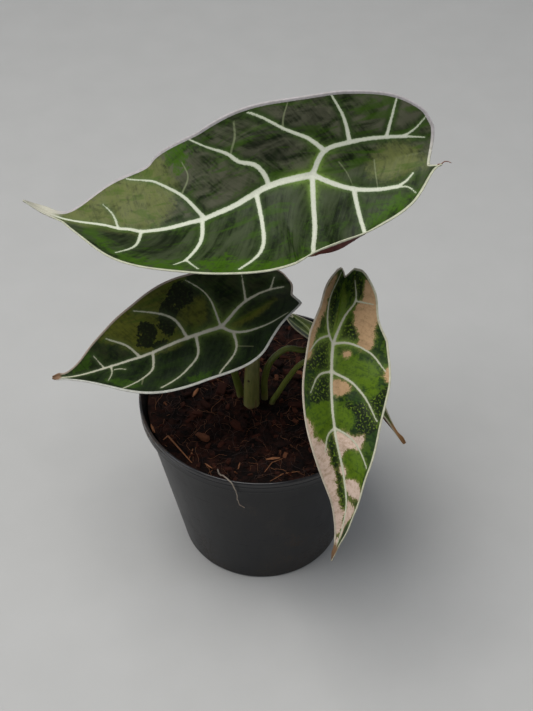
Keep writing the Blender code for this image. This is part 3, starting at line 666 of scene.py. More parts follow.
def patch_depth(points, outline):
    """Distance to a smooth closed outline, positive inside it: inside is an odd number of crossings to the right."""
    count = 6 * len(outline)
    line = curve_through(np.array([*outline[-1:], *outline, *outline[:2]], float), count + 18)
    far = lengths(np.array([*outline[-1:], *outline, *outline[:2]], float))
    line = spline(far, np.array([*outline[-1:], *outline, *outline[:2]], float), np.linspace(far[1], far[-2], count))

    def depth(block):
        near, _ = to_pieces(block, line)
        (x0, a0), (x1, a1) = line[:-1].T, line[1:].T
        x, a = block[:, :1], block[:, 1:]
        spans = (a0 > a) != (a1 > a)
        cross = x < x0 + (a - a0) * (x1 - x0) / np.where(a1 == a0, 1e-9, a1 - a0)
        return np.where((spans & cross).sum(1) % 2, 1, -1) * near.min(1)

    return by_blocks(depth, points)


# %% [markdown]
# ## Building a blade
# The upper face is a fine grid laid on the formula, with sunk veins, a low smooth ribbon on each of them, and
# shallow puckers between. The lower face follows it at the blade's thickness, with ribs under the veins and a
# keel under the midrib. It is seen less, so its grid has half as many rows and columns. The two faces share
# every point of the margin, where rings of a rounded bead join them.

# %% Blade mesh
BODY_THICKNESS = 0.45
# Radius of the margin's bead on the left and on the right half
BEADS = {"large": (0.36, 0.44), "left": (0.36, 0.30), "right": (0.30, 0.32), "back": (0.28, 0.28)}
BEAD_RISE = 0.30
BEAD_ANGLES = np.radians([54, 18, -18, -54])
KEEL_SPREAD = 1.9
KNOT_SPREAD = 3.0
RIBBON = 0.16
PUCKER = 0.32
STREAK = 0.05
CURL_FROM = 0.86
CURL_MIDDLE = -3.0
CURL_REACH = 13.0
# Share of the width that the large blade's right and left half lose just before the drip tip
TIP_WAIST = (0.5, 0.7)
TIP_NUB = {"large": 0.0, "left": 0.9, "right": 0.6, "back": 0.6}


def even_rows(blade, count):
    """Rows whose spacing along the blade is even: the inverse of the distance run by the margin or the midrib."""
    fine = np.linspace(0, 1, 3001)
    edge_x, edge_a = blade.flat(fine, np.ones_like(fine))
    middle_x, _ = blade.flat(fine, np.zeros_like(fine))
    step = np.maximum(np.hypot(np.diff(edge_x), 0.5 * np.diff(edge_a)), np.abs(np.diff(middle_x)))
    run = np.concatenate([[0], np.cumsum(step)])
    return np.interp(np.linspace(0, run[-1], count + 1), run, fine)


def margin_order(rows, columns):
    """Numbers of the grid's outer points, counter-clockwise seen from above."""
    grid = np.arange((rows + 1) * (columns + 1)).reshape(rows + 1, columns + 1)
    return np.concatenate([grid[:-1, 0], grid[-1, :-1], grid[:0:-1, -1], grid[0, :0:-1]])


def coarse_faces(rows, columns):
    """Faces of every second row and column, seen from below, with the skipped points of the margin kept in them."""
    grid = np.arange((rows + 1) * (columns + 1)).reshape(rows + 1, columns + 1)
    cell_row, cell_col = np.meshgrid(np.arange(0, rows, 2), np.arange(0, columns, 2), indexing="ij")
    first_row, last_row = cell_row == 0, cell_row == rows - 2
    first_col, last_col = cell_col == 0, cell_col == columns - 2
    kind = first_row * 1 + last_row * 2 + first_col * 4 + last_col * 8
    blocks = []
    for code in np.unique(kind):
        r, c = cell_row[kind == code], cell_col[kind == code]
        ring = [grid[r, c]]
        ring += [grid[r, c + 1]] if code & 1 else []
        ring += [grid[r, c + 2]]
        ring += [grid[r + 1, c + 2]] if code & 8 else []
        ring += [grid[r + 2, c + 2]]
        ring += [grid[r + 2, c + 1]] if code & 2 else []
        ring += [grid[r + 2, c]]
        ring += [grid[r + 1, c]] if code & 4 else []
        blocks.append(np.stack(ring, -1))
    return blocks


def margin_curl(name, blade, x, side):
    """How far the large leaf's left margin rolls up near the stalk: outwards by 12 t - 14 t^2 and up by 4 t^2."""
    share = np.clip((side - CURL_FROM) / (1 - CURL_FROM), 0, 1) * (name == "large")
    amount = np.exp(-((x - CURL_MIDDLE) / CURL_REACH) ** 2)
    _, left, up = blade.frame(x)
    slope = blade.angle("fold_left", x)
    out = left * np.cos(slope)[..., None] + up * np.sin(slope)[..., None]
    over = up * np.cos(slope)[..., None] - left * np.sin(slope)[..., None]
    return (out * (12 * share - 14 * share ** 2)[..., None] + over * (4 * share ** 2)[..., None]) * amount[..., None]


def make_blade(name, rows, columns):
    """One leaf's blade as a closed sheet, with what the finish needs to know stored on its points."""
    blade = BLADES[name]
    leaf = LEAVES[name]
    even = np.linspace(-1, 1, columns + 1)
    row, side = np.meshgrid(even_rows(blade, rows), even + 0.12 * np.sin(math.pi * even), indexing="ij")
    x, a = blade.flat(row, side)
    waist = np.where(side < 0, *TIP_WAIST) * (name == "large")
    a = a * (1 - waist * np.exp(-((x - blade.front + 16.5) / 7.5) ** 2))
    a = a + np.sign(side) * TIP_NUB[name] * np.abs(side) * np.exp(-((x - blade.front + 2.6) / 1.8) ** 2)
    flat = np.stack([x.ravel(), a.ravel()], -1)
    order = margin_order(rows, columns)
    outline = flat[np.append(order, order[0])]
    from_edge = by_blocks(lambda block: to_pieces(block, outline[::2])[0].min(1), flat).reshape(x.shape)
    vein = vein_depth(flat, [route for route in VEINS[name] if route[1] >= FAINT_BELOW]).reshape(x.shape)
    faint = vein_depth(flat, [route for route in VEINS[name] if route[1] < FAINT_BELOW]).reshape(x.shape)
    sinking = [route for route in VEINS[name][1:] if route[1] > SUNK_FROM]
    near = np.maximum(-vein_depth(flat, [(route, 0, 0) for route, _, _ in sinking]), 0).reshape(x.shape)

    inward = np.clip(2 - 2 * np.abs(side), 0, 1)
    apart = np.clip(-vein / 2.5, 0, 1) * np.clip(from_edge / 4, 0, 1)
    bead_left, bead_right = BEADS[name]
    bead = bead_right + (bead_left - bead_right) * np.clip(side / 2 + 0.5, 0, 1)
    to_bead = from_edge / (1.3 * bead)
    valley = -VEIN_SINK * np.exp(-(near / VEIN_REACH) ** 2) * inward
    size = min(1.0, blade.front / 100)
    wave = RIPPLE * size * np.where(side < 0, 0.4, 1) * np.abs(side) ** 4 * np.sin(2 * math.pi * x / RIPPLE_LENGTH + 1.3 * np.sign(a))
    ribbon = RIBBON * np.clip(vein / 0.5 + 0.6, 0, 1) * np.clip(from_edge / 1.5, 0, 1)
    slant = x - 0.55 * np.abs(a)
    pucker = size * PUCKER * layers(x / 9, a / 7, 11, 2) * apart
    streak = STREAK * layers(slant / 1.5, a / 8, 23, 2) * apart
    raised = BEAD_RISE * bead / 0.4 * np.exp(-to_bead ** 2)
    top = blade.surface(x, a, side, valley + wave + ribbon + pucker + streak + raised)
    top += margin_curl(name, blade, x, side)

    normal = np.cross(np.gradient(top, axis=0), np.gradient(top, axis=1))
    normal /= np.linalg.norm(normal, axis=-1, keepdims=True)
    height = leaf["keel"] - BODY_THICKNESS - 0.3
    along = np.where(x < 0, 0, np.clip(1 - x / blade.front, 0, 1) ** 0.7)
    keel = height * along * np.exp(-(a / KEEL_SPREAD) ** 2)
    knot = height * np.exp(-(x * x + a * a) / KNOT_SPREAD ** 2)
    ribs = 0.65 * np.exp(-(np.clip(-vein, 0, None) / 1.1) ** 2) * np.clip(vein + 3, 0, 1) * np.clip(from_edge / 3, 0, 1)
    edge_swell = (2 * bead - BODY_THICKNESS) * np.exp(-to_bead ** 2)
    thickness = BODY_THICKNESS + np.maximum(np.maximum(keel, knot), ribs) * np.clip(from_edge / 1.5, 0, 1) + edge_swell
    bottom = top - normal * thickness[..., None]

    top, bottom = top.reshape(-1, 3), bottom.reshape(-1, 3)
    centre = (top[order] + bottom[order]) / 2
    upward = top[order] - centre
    tangent = np.roll(centre, -1, 0) - np.roll(centre, 1, 0)
    outward = np.cross(tangent, upward)
    outward /= np.linalg.norm(outward, axis=1, keepdims=True)
    bead = [centre + upward * np.sin(t) + outward * np.linalg.norm(upward, axis=1, keepdims=True) * np.cos(t)
            for t in BEAD_ANGLES]

    grid = np.arange(len(top)).reshape(x.shape)
    upper = np.stack([grid[:-1, :-1], grid[1:, :-1], grid[1:, 1:], grid[:-1, 1:]], -1).reshape(-1, 4)
    lower = [block + len(top) for block in coarse_faces(rows, columns)]
    count = len(order)
    rings = [order, *(2 * len(top) + k * count + np.arange(count) for k in range(len(bead))), order + len(top)]
    strips = [np.stack([r0, r1, np.roll(r1, -1), np.roll(r0, -1)], -1) for r0, r1 in zip(rings[:-1], rings[1:])]
    faces = [upper, *lower, *strips]
    points = np.concatenate([top, bottom, *bead])
    used = np.unique(np.concatenate([block.ravel() for block in faces]))
    number = np.full(len(points), -1)
    number[used] = np.arange(len(used))
    faces = [number[block] for block in faces]

    def spread(values, under=None):
        """Values of the upper face repeated for the lower face and the bead."""
        values = values.reshape(len(top), -1)
        every = [values, values if under is None else under, *[values[order]] * len(bead)]
        return np.concatenate(every)[used].squeeze()

    underside = np.concatenate([np.zeros(len(top)), np.ones(len(top)), *[np.full(count, t < 0) for t in BEAD_ANGLES]])
    patches = {kind: np.full(len(flat), NO_PATCH) for kind in PATCH_KINDS}
    for kind, outlines in PATCHES[name].items():
        patches[kind] = np.max([patch_depth(flat, patch) for patch in outlines], axis=0)
    attributes = {
        "flat": np.column_stack([spread(flat), underside[used]]),
        "vein": spread(vein), "faint": spread(faint), "edge": spread(from_edge), "to_tip": spread(blade.front - x),
        **{kind: spread(np.clip(values, NO_PATCH, 9)) for kind, values in patches.items()}}
    return make_object(f"blade_{name}", points[used], faces, attributes)


# %% [markdown]
# ## The blades' finish
# A fresh alocasia blade is dark and waxy. Close up, the green is broken by fine streaks that run out from the
# midrib, and by clouds of grey sheen: a reflection of the light, painted into the colour. A thin fringe of bright
# green borders each vein. The underside is maroon with paler ribs. All of this is one finish with the same parts on
# every leaf. Only the colours and the strength of each part change, so it is one function with a palette.

# %% Blade finish
def blade_finish(name, deep, mid, lime, olive, shade, painted_sheen, painted_sheen_share, vein, rims, rim_widths, tip, tip_length,
                 mottle, mosaic, softness=1.0, stripe=0.0, dusk=0.0):
    """Green with a painted sheen of reflected light, and mottles, covered by patches, then by veins, margin, dry tip
    and underside.

    The pairs of painted sheen colours, rims and rim_widths hold the left half's value first. Lengths are in flat
    millimetres.
    """
    paint = Paint(name, Specular_IOR_Level=0.09, Coat_Weight=0.02, Coat_Roughness=0.35)
    flat = paint.attribute("flat", vector=True)
    along, across, under = paint.parts(flat)
    left_half = paint.step(across / (2.0 + 7.0 * paint.step(along * -1.0, 1.0, 14.0)), -1.0, 1.0)
    slant = along - 0.55 * paint.math("ABSOLUTE", across)
    streaks = paint.noise(paint.vector(slant * 0.8, across * 0.10, under * 30.0), 1.0, 4.0, 0.6, 0.5)
    clouds = paint.noise(paint.vector(along * 0.075, across * 0.15, under * 9.0), 1.0, 4.0, 0.55, 0.9)
    drifts = paint.noise(paint.vector(slant * 0.14, across * 0.06, under * 9.0 + 20.0), 1.0, 4.0, 0.5, 0.8)
    clouds = clouds + left_half * (drifts - clouds) * 0.8
    stripes = paint.noise(paint.vector(along * 0.05, across * 0.24, under * 9.0 + 40.0), 1.0, 4.0, 0.55, 0.9)
    cells = paint.noise(flat, 0.5, 4.0, 0.7)
    specks = paint.noise(flat, 2.2, 2.0, 0.6)
    ragged = (paint.noise(flat, 0.26, 4.0, 0.68, 0.6) - 0.5) * 8.0 + (paint.noise(flat, 1.1, 2.0, 0.6) - 0.5) * 2.6

    def zone(kind, wander, low, high):
        """1 inside the patches of a kind, 0 outside, with a border that wanders and fades."""
        return paint.step(paint.attribute(kind) + ragged * (wander * softness), low * softness, high * softness)

    depth = paint.attribute("vein")
    panel = paint.step(depth * -1.0, 0.4, 3.0)
    colour = paint.mix(paint.step(cells * 0.35 + clouds * 0.35 + streaks * 0.3, 0.40, 0.60), deep, mid)
    mottled = paint.step(paint.noise(flat, 0.11, 5.0, 0.68, 0.8) + (cells - 0.5) * 0.6, 0.49, 0.57)
    colour = paint.mix(mottled * mottle, colour, lime)
    colour = paint.mix(zone("dark", 0.9, -0.6, 0.6) * dusk, colour, shade)
    # Painted sheen: grey clouds of reflected light painted into the colour between the veins, fading near them.
    painted_sheen_mask = paint.step(clouds * 0.75 + streaks * 0.25, 0.36, 0.62) * panel
    colour = paint.mix(painted_sheen_mask * painted_sheen_share, colour, paint.mix(left_half, painted_sheen[1], painted_sheen[0]))
    striped = paint.step(stripes * 0.8 + streaks * 0.2, 0.52, 0.62)
    colour = paint.mix(striped * stripe, colour, tuple(0.8 * v for v in lime))
    olive_zone = zone("olive", 0.7, -1.5, 1.5)
    olive_tone = paint.mix(striped * 0.8, olive, tuple(0.4 * g + 0.6 * v for g, v in zip(olive, lime)))
    colour = paint.mix(olive_zone * (0.4 + 0.6 * paint.step(clouds * 0.4 + cells * 0.3 + streaks * 0.3, 0.38, 0.56)), colour, olive_tone)
    colour = paint.mix(zone("lime", 1.0, -0.9, 0.9) * (0.35 + 0.65 * paint.step(cells * 0.6 + streaks * 0.4, 0.34, 0.60)), colour, lime)
    flecks = paint.step(paint.noise(flat, 0.95, 3.0, 0.6), 0.55, 0.60)
    dark_zone = zone("dark", 1.1, -0.4, 0.5) * (1 - dusk)
    colour = paint.mix(dark_zone * 0.94, colour, shade)
    colour = paint.mix(dark_zone * flecks * mosaic, colour, tuple(1.25 * g + 0.25 * o for g, o in zip(lime, olive)))

    cream = paint.attribute("cream") + ragged * 0.75 + (specks - 0.5) * 1.6
    colour = paint.mix(paint.step(cream, -1.6, 0.1) * 0.6, colour, tuple(0.6 * g + 0.4 * p for g, p in zip(lime, CREAM)))
    cream_zone = paint.step(cream, -0.2, 0.3) * (1 - paint.step(specks * 0.6 + cells * 0.4, 0.60, 0.64) * 0.8)
    pale = paint.mix(paint.step(along + (clouds - 0.5) * 30.0, 20.0, 50.0), CREAM, BLUSH)
    pale = paint.mix(paint.step(streaks * 0.4 + cells * 0.6, 0.42, 0.64) * 0.55, pale, tuple(0.55 * p for p in CREAM))
    colour = paint.mix(cream_zone, colour, pale)

    from_stalk = paint.math("SQRT", along * along + across * across)
    near_stalk = 1 - paint.step(from_stalk, 3.0, 22.0)
    glow = paint.math("EXPONENT", paint.math("MINIMUM", depth, 0.0) * (1.1 - 0.5 * near_stalk)) * (1 - cream_zone)
    halo = paint.mix(near_stalk, tuple(0.90 * g + 0.10 * v for g, v in zip(lime, vein)),
                     tuple(0.80 * g + 0.35 * v * k for g, v, k in zip(lime, vein, (0.8, 1.1, 0.35))))
    colour = paint.mix(glow * (0.55 + 0.3 * near_stalk) * paint.step(cells, 0.25, 0.5), colour, halo)
    thin = 1 - paint.step(paint.attribute("faint") * -1.0, 0.0, 0.4)
    colour = paint.mix(thin * 0.55, colour, tuple(0.42 * v * k for v, k in zip(vein, (0.95, 1.05, 0.7))))
    ridge = depth + (specks - 0.5) * 0.9 + (cells - 0.5) * 0.6
    on_vein = paint.step(ridge, -0.14, 0.12)
    vein_colour = paint.mix(paint.step(ridge, -0.1, 0.6), tuple(0.72 * v * k for v, k in zip(vein, (0.95, 1.04, 0.86))), vein)
    vein_colour = paint.mix(paint.step(specks * 0.6 + cells * 0.4, 0.46, 0.62) * 0.4, vein_colour, tuple(0.6 * v for v in vein))
    colour = paint.mix(on_vein, colour, vein_colour)

    edge = paint.attribute("edge") + (specks - 0.5) * 0.35
    rim_width = rim_widths[1] + (rim_widths[0] - rim_widths[1]) * left_half
    on_rim = 1 - paint.step(edge - rim_width, -0.18, 0.12)
    rim = paint.mix(left_half, rims[1], rims[0])
    rim = paint.mix(paint.step(cells, 0.35, 0.65) * 0.4, rim, tuple(0.55 * (a + b) / 2 for a, b in zip(*rims)))
    colour = paint.mix(on_rim, colour, rim)
    to_tip = paint.attribute("to_tip") + (specks - 0.5) * 2.0
    dry = paint.mix(paint.step(to_tip, 0.0, tip_length * 0.6), tuple(0.6 * t for t in tip), tip)
    dry = paint.mix(paint.step(specks, 0.4, 0.7) * 0.4, dry, tuple(0.7 * t for t in tip))
    colour = paint.mix(1 - paint.step(to_tip, tip_length * 0.7, tip_length * 1.1), colour, dry)

    maroon = paint.mix(paint.step(clouds, 0.35, 0.65), (0.055, 0.012, 0.014), (0.10, 0.028, 0.022))
    maroon = paint.mix(cream_zone * 0.6, maroon, (0.42, 0.20, 0.17))
    below = paint.mix(paint.step(depth, -0.5, 0.3) * 0.75, maroon, (0.26, 0.15, 0.10))
    below = paint.mix(1 - paint.step(edge - 0.3 * rim_width, -0.1, 0.1), below, rim)
    colour = paint.mix(paint.step(under, 0.35, 0.75), colour, below)

    gloss = 0.36 + 0.14 * streaks + 0.1 * on_vein + 0.08 * clouds
    height = streaks * 0.6 + cells * 0.35 + on_vein * 0.25 + specks * 0.12
    return paint.finish(colour, gloss, height, depth=0.26, strength=0.5)


CREAM = (0.40, 0.26, 0.14)
BLUSH = (0.52, 0.40, 0.33)
# Each sheen pair is the colour of a painted reflection of the light, left half first.
LEAF_FINISHES = {
    "large": dict(deep=(0.005, 0.010, 0.002), mid=(0.016, 0.032, 0.004), lime=(0.034, 0.084, 0.002),
                  olive=(0.110, 0.125, 0.040), shade=(0.004, 0.007, 0.002),
                  painted_sheen=((0.044, 0.058, 0.027), (0.078, 0.079, 0.052)), painted_sheen_share=0.9, vein=(0.56, 0.58, 0.48),
                  rims=((0.48, 0.49, 0.36), (0.43, 0.40, 0.41)), rim_widths=(0.65, 0.85), tip=(0.45, 0.44, 0.36),
                  tip_length=18.0, mottle=0.15, mosaic=0.0, softness=2.4, stripe=0.6, dusk=0.8),
    "left": dict(deep=(0.004, 0.008, 0.003), mid=(0.012, 0.026, 0.004), lime=(0.026, 0.062, 0.004),
                 olive=(0.082, 0.090, 0.011), shade=(0.004, 0.006, 0.003),
                 painted_sheen=((0.016, 0.021, 0.014), (0.036, 0.034, 0.017)), painted_sheen_share=0.5, vein=(0.50, 0.48, 0.39),
                 rims=((0.50, 0.51, 0.46), (0.36, 0.29, 0.23)), rim_widths=(0.70, 0.45), tip=(0.20, 0.12, 0.07),
                 tip_length=4.0, mottle=0.12, mosaic=0.2, stripe=0.25),
    "right": dict(deep=(0.006, 0.018, 0.003), mid=(0.020, 0.050, 0.004), lime=(0.070, 0.125, 0.004),
                  olive=(0.16, 0.19, 0.04), shade=(0.005, 0.010, 0.003),
                  painted_sheen=((0.030, 0.056, 0.018), (0.022, 0.040, 0.014)), painted_sheen_share=0.3, vein=(0.50, 0.49, 0.40),
                  rims=((0.46, 0.46, 0.34), (0.48, 0.42, 0.33)), rim_widths=(0.5, 0.45), tip=(0.16, 0.09, 0.045),
                  tip_length=8.0, mottle=0.5, mosaic=0.7),
    "back": dict(deep=(0.010, 0.024, 0.006), mid=(0.028, 0.055, 0.010), lime=(0.14, 0.17, 0.03),
                 olive=(0.12, 0.13, 0.03), shade=(0.008, 0.014, 0.006),
                 painted_sheen=((0.050, 0.060, 0.035), (0.050, 0.060, 0.035)), painted_sheen_share=0.3, vein=(0.50, 0.50, 0.36),
                 rims=((0.46, 0.44, 0.30), (0.46, 0.44, 0.30)), rim_widths=(0.5, 0.5), tip=(0.32, 0.17, 0.07),
                 tip_length=12.0, mottle=0.35, mosaic=0.3),
}
BLADE_GRIDS = {"large": (400, 160), "left": (280, 124), "right": (310, 100), "back": (190, 70)}

def make_thread():
    """A dried thread, 5 mm long, that curls from the far end of the large leaf's left lobe."""
    blade = BLADES["large"]
    start = blade.surface(*blade.flat(np.array([0.0]), np.array([0.96])), np.array([0.96]), 0.0)[0]
    route = start + np.array([(-1.5, 0, -0.3), (0, 0, 0), (1.3, 0.4, 0.9), (2.6, 0.6, 0.9), (4.4, 0.3, 0.3)])
    points = swept(curve_through(route, 24), np.linspace(0.34, 0.14, 24), 8, np.array([0.0, 1.0, 0.0]))
    return make_object("lobe_thread", points, ring_faces(24, 8))


for name, (rows, columns) in BLADE_GRIDS.items():
    blade_object = make_blade(name, rows, columns)
    blade_object.data.materials.append(blade_finish(f"blade_{name}", **LEAF_FINISHES[name]))
    dressed(blade_object, "blade" if name in ("large", "back") else "blade_mottled", f"leaf_{name}")

withered = Paint("withered_thread")
fine = withered.noise(withered.place(), 2500.0, 3.0, 0.6)
thread = make_thread()
thread.data.materials.append(withered.finish(withered.mix(fine, (0.10, 0.035, 0.022), (0.24, 0.11, 0.07)), 0.7, fine, depth=0.05))
dressed(thread, "blade", "leaf_large")


# %% [markdown]
# ## The stalks
# Each stalk is a long round leaf-stem that swells into a sheath at its foot. The thick one carries the big leaf
# and holds the others inside its sheath, whose dry edge shows as a step down one side. A curve with a bevel
# would give the round, but the sheath needs a section that changes on the way, so the rings are worked out
# here: a radius that falls with the height, a step in it at one angle, and a faint fluting all round.

# %% Stalk mesh
STALK_RINGS = 150
STALK_SIDES = 44
SHEATH_STEP = 0.55
SHEATH_SHARE = 0.42
SHEATH_ANGLE = {"large": -1.05, "left": 0.6, "right": 2.2, "back": 1.2}
SOIL_TOP = 89.0


def make_stalk(name):
    """A stalk from under the mix to inside the knot of its blade, with its height along the stalk on its points."""
    leaf = LEAVES[name]
    point, up = BLADES[name].stalk_end()
    reach = leaf["keel"] + 0.45
    path = curve_through(leaf["stalk"] + [tuple(point - up * (reach + leaf["run_in"])), tuple(point - up * reach),
                                          tuple(point - up * 1.1)], STALK_RINGS)
    share = lengths(path) / lengths(path)[-1]
    foot, top = leaf["stalk_radius"]
    radii = top + (foot - top) * (1 - share) ** 1.6
    radii = radii * (1 + 0.28 * np.exp(-((1 - share) / 0.022) ** 2))
    angle = np.arange(STALK_SIDES) * 2 * math.pi / STALK_SIDES
    turn = (angle[None] - SHEATH_ANGLE[name] - 0.5 * share[:, None]) % (2 * math.pi)
    fade = np.clip(1 - share / SHEATH_SHARE, 0, 1)[:, None] ** 0.7
    step = SHEATH_STEP / foot * fade * np.exp(-turn / 1.1)
    flutes = 0.010 * np.cos(9 * angle)[None] + 0.012 * chance(share[:, None] * 14, angle[None] * 1.2, 5)
    section = 1 - 0.5 * SHEATH_STEP / foot * fade + step + flutes
    points = swept(path, radii, STALK_SIDES, np.array([1.0, 0.0, 0.0]), section)
    on_edge = (fade * np.exp(-turn / 0.16)).ravel()
    around = (np.broadcast_to(angle, (STALK_RINGS, STALK_SIDES)) / (2 * math.pi)).ravel()
    attributes = {
        "share": np.concatenate([np.repeat(share, STALK_SIDES), [0, 1]]),
        "sheath_edge": np.concatenate([on_edge, [0, 0]]), "around": np.concatenate([around, [0, 0]])}
    return make_object(f"stem_{name}", points, ring_faces(STALK_RINGS, STALK_SIDES), attributes)


# %% [markdown]
# The stalks are yellow-olive, mottled with darker green, and paler and creamier on the thick one. They fade to
# a pinkish white at the foot, and the sheath's edge has dried brown. One small dark pock sits on the thick
# stalk. The colour follows the height along the stalk and fine lengthwise streaks in object coordinates.

# %% Stalk finish
POCK_PIXEL = (248, 382)


def stalk_finish(name, pale, green, blotch):
    """Pale to green up the stalk, with lengthwise streaks, blotches, a brown sheath edge and a light foot."""
    paint = Paint(name, Specular_IOR_Level=0.3, Coat_Weight=0.08, Coat_Roughness=0.3, Subsurface_Weight=0.12,
                  Subsurface_Scale=0.002)
    place = paint.place()
    x, y, z = paint.parts(place)
    streaks = paint.noise(paint.vector(x * 900.0, y * 900.0, z * 60.0), 1.0, 4.0, 0.6)
    clouds = paint.noise(place, 140.0, 3.0, 0.6)
    specks = paint.noise(place, 1100.0, 2.0, 0.5)
    share = paint.attribute("share")
    colour = paint.mix(paint.step(share + (clouds - 0.5) * 0.5, 0.05, 0.6), pale, green)
    colour = paint.mix(paint.step(streaks * 0.6 + clouds * 0.4, 0.47, 0.62) * 0.55, colour, blotch)
    colour = paint.mix((1 - paint.step(z, 0.086, 0.094)) * 0.6, colour, (0.26, 0.20, 0.11))
    edge = paint.attribute("sheath_edge")
    colour = paint.mix(paint.step(edge + (specks - 0.5) * 0.4, 0.35, 0.75) * 0.8, colour, (0.16, 0.075, 0.035))
    return paint, colour, streaks, clouds, specks, place


def finish_stalk(name, pale, green, blotch, pock=None):
    paint, colour, streaks, clouds, specks, place = stalk_finish(name, pale, green, blotch)
    if pock is not None:
        away = paint.node("VectorMath", {"operation": "DISTANCE"}, {0: place, 1: tuple(pock * MM)}, out="Value")
        colour = paint.mix(1 - paint.step(away + (specks - 0.5) * 0.0004, 0.0004, 0.0009), colour, (0.03, 0.02, 0.008))
    return paint.finish(colour, 0.38 + 0.14 * clouds, streaks * 0.6 + specks * 0.3, depth=0.15, strength=0.5)


STALK_FINISHES = {
    "large": ((0.20, 0.20, 0.055), (0.17, 0.165, 0.065), (0.11, 0.13, 0.03)),
    "left": ((0.14, 0.16, 0.03), (0.10, 0.13, 0.02), (0.07, 0.09, 0.014)),
    "right": ((0.14, 0.16, 0.03), (0.12, 0.15, 0.025), (0.07, 0.10, 0.014)),
    "back": ((0.15, 0.15, 0.035), (0.11, 0.14, 0.022), (0.07, 0.09, 0.015)),
}
for name, (pale, green, blotch) in STALK_FINISHES.items():
    stem = make_stalk(name)
    pock = None
    if name == "large":
        eye = np.array(CAMERA_PLACE) / MM
        sight = on_level(POCK_PIXEL, 0) - eye
        points = np.empty(len(stem.data.vertices) * 3)
        stem.data.vertices.foreach_get("co", points)
        points = points.reshape(-1, 3) / MM
        ray = sight / np.linalg.norm(sight)
        off = np.linalg.norm(np.cross(points - eye, ray), axis=1)
        depth = (points - eye) @ ray
        pock = points[np.argmin(off + 0.2 * (depth - depth.min()))]
    stem.data.materials.append(finish_stalk(f"stalk_{name}", pale, green, blotch, pock))
    dressed(stem, "stalk", f"stalk_{name}")


# %% [markdown]
# ## The pot
# A thin black nursery pot is blow-moulded or injection-moulded: a tapered wall, a rolled rim with a fine line
# round it, a foot ring and drain holes in a recessed floor. It is a turned shape, so its profile is a list of
# corners, each with the radius of its rounding, carried round the axis. The drain holes are then cut with one
# Boolean, as they are in the model.

# %% Pot measures
POT_HEIGHT = 95.0
POT_FOOT_RADIUS = 41.0
POT_TOP_RADIUS = 57.6
POT_WALL = 1.1
RIM_RADIUS = 60.0
RIM_HEIGHT = 7.0
RIM_THICKNESS = 1.4
FOOT_RING_INNER = 37.0
FOOT_PAD_RADIUS = 18.5
FLOOR_THICKNESS = 1.2
UNDERSIDE_RECESS = 1.5
DRAIN_RADIUS = 3.2
DRAIN_CIRCLE = 27.5
DRAIN_COUNT = 8
POT_SIDES = 240
ROUND_STEPS = 5
GAP = 0.3


def inner_wall(height):
    """Radius of the pot's inner wall at a height."""
    share = height / (POT_HEIGHT - RIM_HEIGHT)
    return POT_FOOT_RADIUS + (POT_TOP_RADIUS - POT_FOOT_RADIUS) * share - POT_WALL


def rounded_profile(corners):
    """Corners (radius, height, rounding) as points: each corner is cut back by its rounding and bridged by a
    curve (1 - t)^2 before + 2 t (1 - t) corner + t^2 after."""
    corners = np.array(corners, float)
    out = [corners[:1, :2]]
    for before, here, after in zip(corners[:-2], corners[1:-1], corners[2:]):
        back, ahead = before[:2] - here[:2], after[:2] - here[:2]
        near = min(here[2], 0.45 * np.linalg.norm(back), 0.45 * np.linalg.norm(ahead))
        start = here[:2] + back / np.linalg.norm(back) * near
        end = here[:2] + ahead / np.linalg.norm(ahead) * near
        t = np.linspace(0, 1, ROUND_STEPS)[:, None]
        out.append((1 - t) ** 2 * start + 2 * t * (1 - t) * here[:2] + t ** 2 * end)
    return np.concatenate([*out, corners[-1:, :2]])


def turned(profile, sides):
    """Points of a body of revolution about Z whose profile starts and ends on the axis."""
    angle = np.arange(sides) * 2 * math.pi / sides
    ring = np.stack([np.cos(angle), np.sin(angle)], -1)
    middle = profile[1:-1]
    rings = np.concatenate([middle[:, None, :1] * ring[None], np.broadcast_to(middle[:, None, 1:], (len(middle), sides, 1))], -1)
    ends = np.array([[0, 0, profile[0, 1]], [0, 0, profile[-1, 1]]])
    return np.concatenate([rings.reshape(-1, 3), ends])


